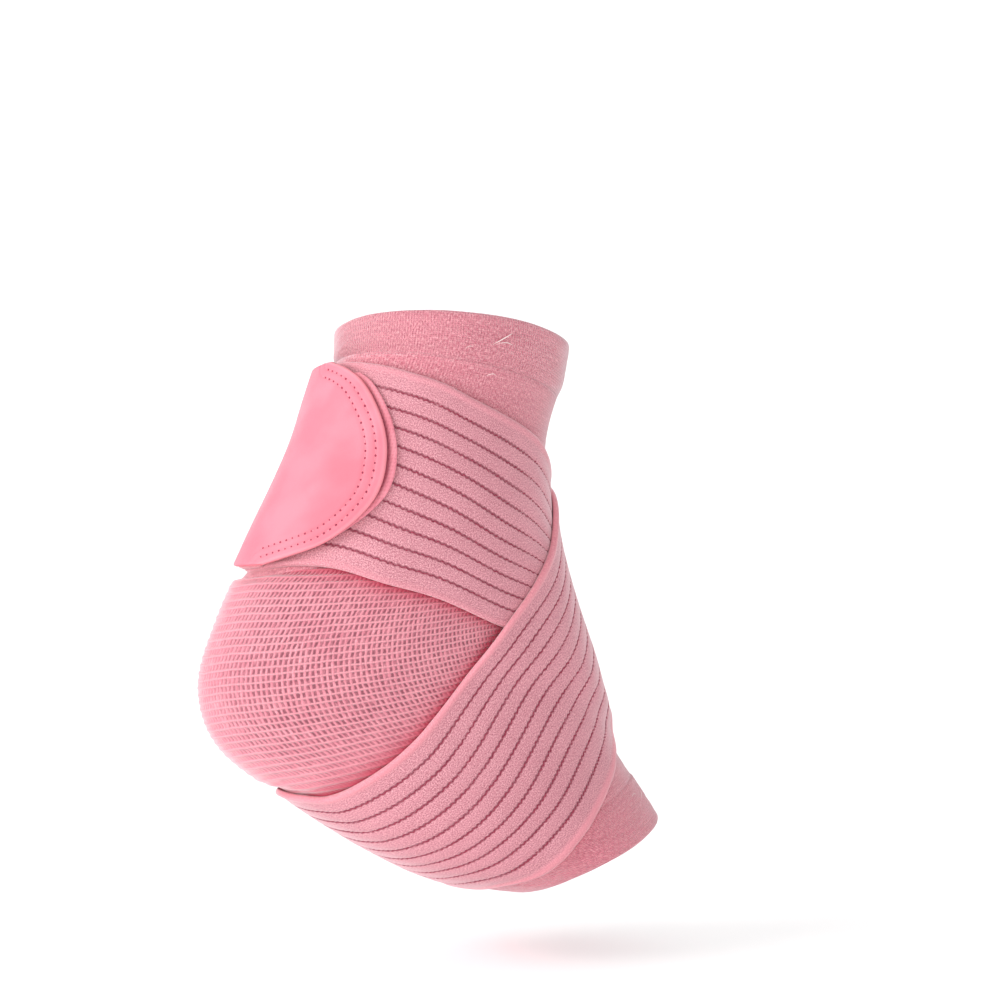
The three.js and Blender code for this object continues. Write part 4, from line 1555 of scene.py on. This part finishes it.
def girth(along, height):
    """The length once round the tube, at a height off it."""
    points = off_sleeve(along + 0 * ring, ring, height)
    return float(np.linalg.norm(np.diff(points, axis=0), axis=1).sum())


SLEEVE_GIRTH = girth(0.5, -SLEEVE_WALL / 2)
ankle_area = area_of(ankle_cuff_piece)
foot_area = area_of(foot_cuff_piece)
girth(0.04, 0)
ankle_area / girth(0.04, 0)
girth(0.97, 0)
foot_area / girth(0.97, 0)

# %% [markdown]
# ## Studio
# The picture was taken against seamless white in soft light from the left. A pale floor runs up into a
# wall behind, large soft lamps stand to the left, in front and to the right, a weak one lights the brace
# from below, and the world is a dim white.

# %% Floor and back wall
FLOOR_Z = -0.131
FLOOR_FRONT, FLOOR_BACK = -1.4, 1.0
BEND_RADIUS = 0.5
WALL_HEIGHT = 3.0
HALF_WIDE = 3.0


def stage_sweep():
    """A floor that turns up into a back wall, seen from the camera's side."""
    bend = np.linspace(0.15, math.pi / 2, 9)
    profile = [(FLOOR_FRONT, 0.0), (FLOOR_BACK, 0.0)]
    for a in bend:
        profile.append((FLOOR_BACK + BEND_RADIUS * math.sin(a), BEND_RADIUS - BEND_RADIUS * math.cos(a)))
    profile += [(FLOOR_BACK + BEND_RADIUS, WALL_HEIGHT)]
    points, faces = [], []
    for depth, up in profile:
        points += [(-HALF_WIDE, depth, FLOOR_Z + up), (HALF_WIDE, depth, FLOOR_Z + up)]
    for k in range(len(profile) - 1):
        faces.append((2 * k, 2 * k + 1, 2 * k + 3, 2 * k + 2))
    mesh = bpy.data.meshes.new("studio_sweep")
    mesh.from_pydata(points, [], faces)
    mesh.polygons.foreach_set("use_smooth", [True] * len(mesh.polygons))
    made = bpy.data.objects.new("studio_sweep", mesh)
    scene.collection.objects.link(made)
    return made


sweep = stage_sweep()
paper = bpy.data.materials.new("studio_paper")
paper.use_nodes = True
paper_shader = paper.node_tree.nodes["Principled BSDF"]
paper_shader.inputs["Base Color"].default_value = (0.97, 0.97, 0.97, 1)
paper_shader.inputs["Roughness"].default_value = 0.9
paper_shader.inputs["Emission Color"].default_value = (1, 1, 1, 1)
paper_shader.inputs["Emission Strength"].default_value = 0.18
sweep.data.materials.append(paper)
sweep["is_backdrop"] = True
print("floor at", FLOOR_Z)

# %% Lamps: name, place, size in metres and watts
LAMPS = (
    ("lamp_left", (-1.7, -0.25, 0.6), (1.2, 1.4), 26),
    ("lamp_front", (-0.4, -1.9, 0.9), (1.4, 1.0), 5),
    ("lamp_right", (1.6, 0.3, 0.4), (1.0, 1.2), 2.5),
    ("lamp_below", (0.0, -0.7, -0.11), (0.8, 0.5), 0.8),
)
LAMP_AIM = Vector((0, 0, 0))
for name, place, size, watts in LAMPS:
    lamp = bpy.data.lights.new(name, "AREA")
    lamp.shape = "RECTANGLE"
    lamp.size, lamp.size_y = size
    lamp.energy = watts
    holder = bpy.data.objects.new(name, lamp)
    holder.location = place
    holder.rotation_euler = (LAMP_AIM - Vector(place)).to_track_quat("-Z", "Y").to_euler()
    scene.collection.objects.link(holder)
print(len(LAMPS), "lamps,", sum(lamp[3] for lamp in LAMPS), "watts")

# %% World
WORLD_LIGHT = 0.62
BACKGROUND_LIFT = 0.38
world = bpy.data.worlds.new("studio")
scene.world = world
world.use_nodes = True
backdrop = world.node_tree.nodes["Background"]
backdrop.inputs[0].default_value = (1, 1, 1, 1)
sky = Net(world.node_tree)
seen_at = sky.add("ShaderNodeLightPath", out="Is Camera Ray")
sky.feed(backdrop.inputs[1], sky.math("MULTIPLY_ADD", seen_at, BACKGROUND_LIFT, WORLD_LIGHT))
scene.view_settings.view_transform = "Standard"
print("world light", WORLD_LIGHT, "and as background", WORLD_LIGHT + BACKGROUND_LIFT)

# %% [markdown]
# ## Sizes and the end
# The dressed brace must keep the frame's size, so both boxes are written down and compared.

# %% Finish
new_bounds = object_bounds()
for low_high, cad, seen in zip(("low", "high"), cad_bounds, new_bounds):
    print(low_high, "mm over the frame:", [round((s - c) / MM, 1) for c, s in zip(cad, seen)])
